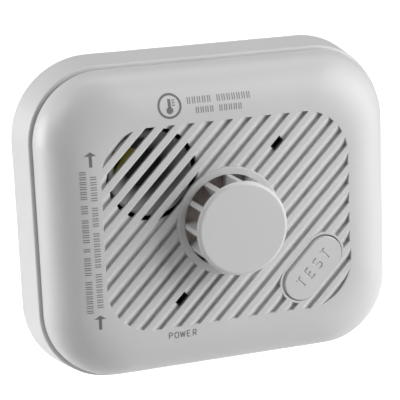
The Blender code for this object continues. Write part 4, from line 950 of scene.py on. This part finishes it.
class CoverPrint:
    """Thin bars of ink laid on the cover's surface, gathered into one piece."""

    def __init__(self, surface):
        self.surface = surface
        self.lofts = []

    def height(self, x, y):
        return self.surface.ray_cast(Vector((x, y, PROBE_HEIGHT)), Vector((0, 0, -1)))[0].z

    def bar(self, start, end, width):
        """Overlapping bars differ slightly in height, so that no two tops coincide."""
        start, end = Vector(start), Vector(end)
        ahead = end - start
        side = Vector((-ahead.y, ahead.x)).normalized() * (width / 2)
        rise = PRINT_RISE + PRINT_STAGGER * (len(self.lofts) % PRINT_LEVELS)
        steps = max(1, math.ceil(ahead.length / PRINT_STEP))
        rings = []
        for step in range(steps + 1):
            place = start + ahead * (step / steps)
            left, right = place + side, place - side
            left_height, right_height = self.height(*left), self.height(*right)
            rings.append([
                (*left, left_height + rise),
                (*right, right_height + rise),
                (*right, right_height - PRINT_SINK),
                (*left, left_height - PRINT_SINK),
            ])
        self.lofts.append(rings)

    def line(self, points, width):
        for start, end in zip(points, points[1:]):
            self.bar(start, end, width)

    def disc(self, centre, radius, width=0.4):
        """A filled disc of upright bars."""
        count = round(2 * radius / width)
        for index in range(count):
            x = -radius + (index + 0.5) * 2 * radius / count
            reach = math.sqrt(radius * radius - x * x)
            self.bar((centre[0] + x, centre[1] - reach), (centre[0] + x, centre[1] + reach),
                     width + PRINT_OVERLAP)

    def up_arrow(self, tip):
        """Shaft of two bars and a filled head of upright ones."""
        x, y = tip
        half_width, height = ARROW_HEAD
        for centre in (x - ARROW_SHAFT / 4, x + ARROW_SHAFT / 4):
            self.bar((centre, y - ARROW_LENGTH), (centre, y - height), ARROW_SHAFT / 2 + PRINT_OVERLAP)
        count = int(half_width / ARROW_BAR)
        for index in range(-count, count + 1):
            place = x + index * ARROW_BAR
            top = y - abs(index) * ARROW_BAR * height * ARROW_HEAD_SLOPE / half_width
            self.bar((place, y - height), (place, top), ARROW_BAR + ARROW_BAR_OVERLAP)

    def word(self, letters, centre, size, pitch, stroke):
        for index, letter in enumerate(letters):
            x = centre[0] + (index - (len(letters) - 1) / 2) * pitch
            for path in letter_paths(letter):
                self.line([(x + u * size, centre[1] + v * size) for u, v in path], stroke)

    def blank_text(self, start, words, pitch, height, upright):
        """Pairs of short bars in the place of letters; an upright row reads from below."""
        position = 0.0
        for count in words:
            for _ in range(count):
                for share in BLANK_BAR_PLACES:
                    along = position + share * pitch
                    if upright:
                        low = (start[0] - height / 2, start[1] + along)
                        high = (start[0] + height / 2, start[1] + along)
                    else:
                        low = (start[0] + along, start[1] - height / 2)
                        high = (start[0] + along, start[1] + height / 2)
                    self.bar(low, high, BLANK_BAR_WIDTH)
                position += pitch
            position += pitch * BLANK_WORD_GAP

    def finish(self, name, material):
        piece(name, solids(name, self.lofts), "head", material, sharp=60)


def print_symbol(symbol):
    """A thermometer with three ticks, in a ring."""
    x, y = SYMBOL_CENTRE
    for radius in SYMBOL_RING_RADII:
        symbol.line(arc(SYMBOL_CENTRE, (radius, radius), 0, 360, steps=40), SYMBOL_RING_STROKE)
    low, high = SYMBOL_STEM
    for side in (-SYMBOL_STEM_SIDE, SYMBOL_STEM_SIDE):
        symbol.bar((x + side, y + low), (x + side, y + high), SYMBOL_STEM_STROKE)
    symbol.disc((x, y + low), SYMBOL_BULB_RADIUS)
    start, end = SYMBOL_TICK_REACH
    for tick in SYMBOL_TICKS:
        symbol.bar((x + start, y + tick), (x + end, y + tick), SYMBOL_TICK_STROKE)


def build_prints(materials):
    """A heat symbol, the word beside its lamp, slide arrows and rows of bars in place of wording."""
    mesh = pillow("pillow")
    surface = BVHTree.FromPolygons([v.co for v in mesh.vertices], [p.vertices for p in mesh.polygons])
    bpy.data.meshes.remove(mesh)

    symbol = CoverPrint(surface)
    print_symbol(symbol)
    symbol.finish("heat_symbol_print", materials["ink"])

    wording = CoverPrint(surface)
    for row in BLANK_ROWS:
        wording.blank_text(*row)
    wording.finish("blank_wording_print", materials["faint_ink"])

    arrows = CoverPrint(surface)
    for tip in ARROW_TIPS:
        arrows.up_arrow(tip)
    arrows.finish("slide_arrow_print", materials["ink"])

    lamp_word = CoverPrint(surface)
    lamp_word.word("POWER", LAMP_WORD_CENTRE, LAMP_WORD_SIZE, LAMP_WORD_PITCH, LAMP_WORD_STROKE)
    lamp_word.finish("lamp_word_print", materials["ink"])


# ---------------------------------------------------------------- mounting base


def base_shell():
    """Shallow open tray with a softly rounded front edge."""
    back_edge = reversed(quarter_round(BASE_BACK_ROUND, steps=3))
    rings = [(inset(BASE_BACK, inward), down) for inward, down in back_edge]
    edge = BASE_EDGE_ROUND
    near_rim = interpolate(BASE_BACK, BASE_RIM, (BASE_DEPTH - edge) / BASE_DEPTH)
    for inward, down in quarter_round(edge, steps=5):
        lean = BASE_EDGE_LEAN * (edge - down) / edge
        rings.append((inset(near_rim, inward + lean), BASE_DEPTH - down))
    rings.append((inset(BASE_RIM, BASE_WALL - BASE_LIP), BASE_DEPTH))
    rings.append((inset(BASE_RIM, BASE_WALL), BASE_DEPTH - BASE_LIP))
    plate = inset(interpolate(BASE_BACK, BASE_RIM, BACK_PLATE_SHARE), BASE_WALL)
    rings.append((plate, BACK_PLATE))
    return solid("mounting_base_tray", [lifted(rounded_rectangle(*o), d) for o, d in rings])


def base_additions():
    """Hooks with their webs, screw posts and the clip's two lugs."""
    low, high = HOOK_HEAD
    web = ((HOOK_X - HOOK_NECK_HALF, BASE_RIM[0] - OVERRUN), (OVERRUN, BASE_DEPTH - HOOK_OVERRUN))
    neck = ((HOOK_X - HOOK_NECK_HALF, HOOK_X + HOOK_NECK_HALF), (HOOK_NECK_LOW, low + HOOK_OVERRUN))
    head = ((HOOK_X - HOOK_HEAD_HALF, HOOK_X + HOOK_HEAD_HALF), (low, high))
    parts = []
    for side in (-1, 1):
        for hook_span in HOOK_SPANS:
            for span, depths in (web, neck, head):
                parts.append((rectangle(sorted(side * x for x in span), hook_span), *depths))
    for centre, radius, height in BASE_POSTS:
        parts.append((circle(radius, POST_SIDES, centre), OVERRUN, height))
    pivot_y, pivot_z = CLIP_PIVOT
    for side in (-1, 1):
        span = sorted(side * x for x in CLIP_LUG_SPAN)
        lug = rectangle(span, (pivot_y - CLIP_LUG_HALF, pivot_y + CLIP_LUG_HALF))
        parts.append((lug, OVERRUN, pivot_z + CLIP_LUG_HALF))
    return parts


def base_openings():
    """Screw holes in the posts, the pin's hole, the cable entry, wall slots and the clip's window."""
    openings = []
    for centre, _, height in BASE_POSTS:
        hole = circle(POST_HOLE_RADIUS, HOLE_SIDES, centre)
        openings.append(prism("post_hole", hole, BACK_PLATE, height + OVERRUN))
    hole = prism("pin_hole", circle(PIN_HOLE_RADIUS, HOLE_SIDES), -PIN_HOLE_HALF, PIN_HOLE_HALF)
    hole.transform(Matrix.Translation((0, *CLIP_PIVOT)) @ Matrix.Rotation(math.pi / 2, 4, "Y"))
    openings.append(hole)
    openings.append(prism("cable_entry", rectangle(*CABLE_ENTRY), *BACK_CUT))
    left, right = WALL_SLOT_ENDS
    for y in WALL_SLOT_HEIGHTS:
        slot = stadium(WALL_SLOT_RADIUS, (left, y), (right, y), steps=12)
        openings.append(prism("wall_slot", slot, *BACK_CUT))
    window, depths = CLIP_WINDOW
    openings.append(prism("clip_window", rectangle(*window), *depths))
    return openings


def build_base(materials):
    changes = [("UNION", prism(f"added_{i}", *part)) for i, part in enumerate(base_additions())]
    changes += [("DIFFERENCE", opening) for opening in base_openings()]
    mesh = combined(base_shell(), *changes)
    piece("mounting_base_tray", mesh, "base", materials["base"], ("mounting_base",),
          weighted=True)


# ---------------------------------------------------------------- horn


def on_horn():
    """From the leaf's own directions, outwards and sideways, to the horn's place on the cover."""
    return Matrix.Translation((*HORN_CENTRE, 0)) @ Matrix.Rotation(math.radians(LEAF_HEADING), 4, "Z")


def build_horn(materials):
    """Funnel with a notch in its rim, where the leaf crosses it."""
    back, front = HORN_LOW.z, HORN_HIGH.z
    profile = [(HORN_RADIUS, back), (HORN_RADIUS, front - HORN_RIM_CHAMFER),
               (HORN_RADIUS - HORN_RIM_CHAMFER, front), (HORN_MOUTH_RADIUS + HORN_MOUTH_CHAMFER, front),
               (HORN_MOUTH_RADIUS, front - HORN_MOUTH_CHAMFER)]
    seat_radius, seat = HORN_SEAT
    mouth = (HORN_MOUTH_RADIUS, front - HORN_MOUTH_DEPTH)
    throat = (HORN_THROAT_RADIUS, seat + HORN_THROAT_LENGTH)
    for step in range(HORN_CONE_STEPS + 1):
        profile.append(interpolate(mouth, throat, step / HORN_CONE_STEPS))
    profile += [(HORN_THROAT_RADIUS, seat), (seat_radius, seat), (seat_radius, back)]
    funnel = turned("horn_funnel", profile, centre=HORN_CENTRE, closed=True)
    opening, depths = LEAF_NOTCH
    notch = prism("leaf_notch", rectangle(*opening), *depths)
    notch.transform(on_horn())
    piece("horn_funnel", combined(funnel, ("DIFFERENCE", notch)), "head",
          materials["horn"], ("horn_housing",))


def build_contact_leaf(materials):
    """Broad over the horn's mouth, narrow where it bends over the rim and down."""
    body, depths = LEAF_BODY
    parts = []
    for half_width, reach, low, high in LEAF_PARTS:
        parts.append(("UNION", prism("leaf_part", rectangle(reach, (-half_width, half_width)), low, high)))
    leaf = combined(prism("contact_leaf", rectangle(*body), *depths), *parts)
    leaf.transform(on_horn())
    piece("contact_leaf", leaf, "head", materials["dull_brass"], ("horn_contact_leaf",))


# ---------------------------------------------------------------- carried-over pieces


def numbered(name, count):
    return [f"{name}_{index + 1}" for index in range(count)]


def ended(names, endings):
    return [f"{name}_{ending}" for name in names for ending in endings]


CARRIED_OVER = {
    # The case parts take the dark grey painted shade of the housing's inside.
    "case": ("rear_case", "terminal_cover", "cable_clamp", "horn_back_cap"),
    "block": ("terminal_block", "contact_carrier"),
    "board": ("circuit_board",),
    # On the LED shrouds the black is painted shade inside their slots.
    "black": ("test_switch", "processor_chip", "alarm_led_shroud", "power_led_shroud",
              "thermistor_holder", "horn_gauze", "horn_leaf_card"),
    "small_board": ("sensor_board",),
    "dull_brass": ("piezo_disc",),
    "brass": (*ended(("socket_clip", "contact_blade"), ("live", "neutral", "link")),
              *ended(("battery_contact",), ("positive", "negative"))),
    "steel": ("clip_pin", "terminal_cover_screw", *numbered("cable_clamp_screw", 2),
              *numbered("terminal_screw", 4), *numbered("case_screw", 4),
              *numbered("thermistor_lead", 2), *ended(("battery_stud",), ("positive", "negative"))),
    "red": ("alarm_led",),
    "green": ("power_led",),
    "sleeve": (*numbered("smoothing_capacitor", 2), "surge_varistor"),
    "resin": ("mains_capacitor",),
    "bead": ("thermistor_bead",),
    "jacket": ("battery",),
    "base": ("release_clip",),
}


def dress_carried_over(materials):
    for material, nodes in CARRIED_OVER.items():
        for node in nodes:
            dress(node, materials[material])


# ---------------------------------------------------------------- stage, camera and lights


def build_stage():
    """A wide pale floor, well below the alarm, which hangs in the air as if on a wall."""
    mesh = bpy.data.meshes.new("floor")
    shape = bmesh.new()
    for x, y in rectangle((-FLOOR_REACH, FLOOR_REACH), (-FLOOR_REACH, FLOOR_REACH)):
        shape.verts.new((x, y, FLOOR_HEIGHT))
    shape.faces.new(shape.verts)
    shape.to_mesh(mesh)
    shape.free()
    floor = bpy.data.objects.new("floor", mesh)
    bpy.context.scene.collection.objects.link(floor)
    material, tree, shader = new_material("pale_paper", grey(0.70), roughness=0.9)
    add_bump(tree, shader, object_noise(tree, scale=40.0), strength=0.05, distance=0.001)
    mesh.materials.append(material)


def build_camera():
    camera = bpy.data.cameras.new("camera")
    camera.lens = CAMERA_LENS
    camera.sensor_width = CAMERA_SENSOR
    item = bpy.data.objects.new("camera", camera)
    bpy.context.scene.collection.objects.link(item)
    forward = Vector(CAMERA_FORWARD).normalized()
    right = forward.cross(Vector(CAMERA_UP)).normalized()
    turn = Matrix((right, right.cross(forward), -forward)).transposed()
    item.matrix_world = Matrix.Translation(CAMERA_PLACE) @ turn.to_4x4()
    bpy.context.scene.camera = item


def add_softbox(name, place, size, power, aim=LIT_POINT, spread=180):
    light = bpy.data.lights.new(name, "AREA")
    light.shape = "RECTANGLE"
    light.size, light.size_y = size
    light.energy = power
    light.spread = math.radians(spread)
    item = bpy.data.objects.new(name, light)
    bpy.context.scene.collection.objects.link(item)
    item.location = place
    item.rotation_euler = (Vector(aim) - Vector(place)).to_track_quat("-Z", "Y").to_euler()
    return item


def build_lights():
    """Key light at the upper right, weaker boxes around the back and left, and a lit floor behind."""
    world = bpy.data.worlds.new("studio")
    bpy.context.scene.world = world
    world.use_nodes = True
    background = world.node_tree.nodes["Background"]
    background.inputs["Color"].default_value = (1.0, 1.0, 1.0, 1.0)
    background.inputs["Strength"].default_value = WORLD_STRENGTH
    for name, place, size, power in SOFTBOXES:
        add_softbox(name, place, size, power)
    floor_light = add_softbox("floor_light", FLOOR_LIGHT_PLACE, FLOOR_LIGHT_SIZE, FLOOR_LIGHT_POWER,
                              FLOOR_LIGHT_AIM, FLOOR_LIGHT_SPREAD)
    floor_light.rotation_euler.z = math.radians(FLOOR_LIGHT_TURN)


def main():
    bpy.context.scene.view_settings.view_transform = "Standard"
    materials = make_materials()
    build_stage()
    build_camera()
    build_lights()
    build_cover(materials)
    build_guard(materials)
    build_button(materials)
    build_return_spring(materials)
    build_prints(materials)
    build_base(materials)
    build_horn(materials)
    build_contact_leaf(materials)
    dress_carried_over(materials)


main()
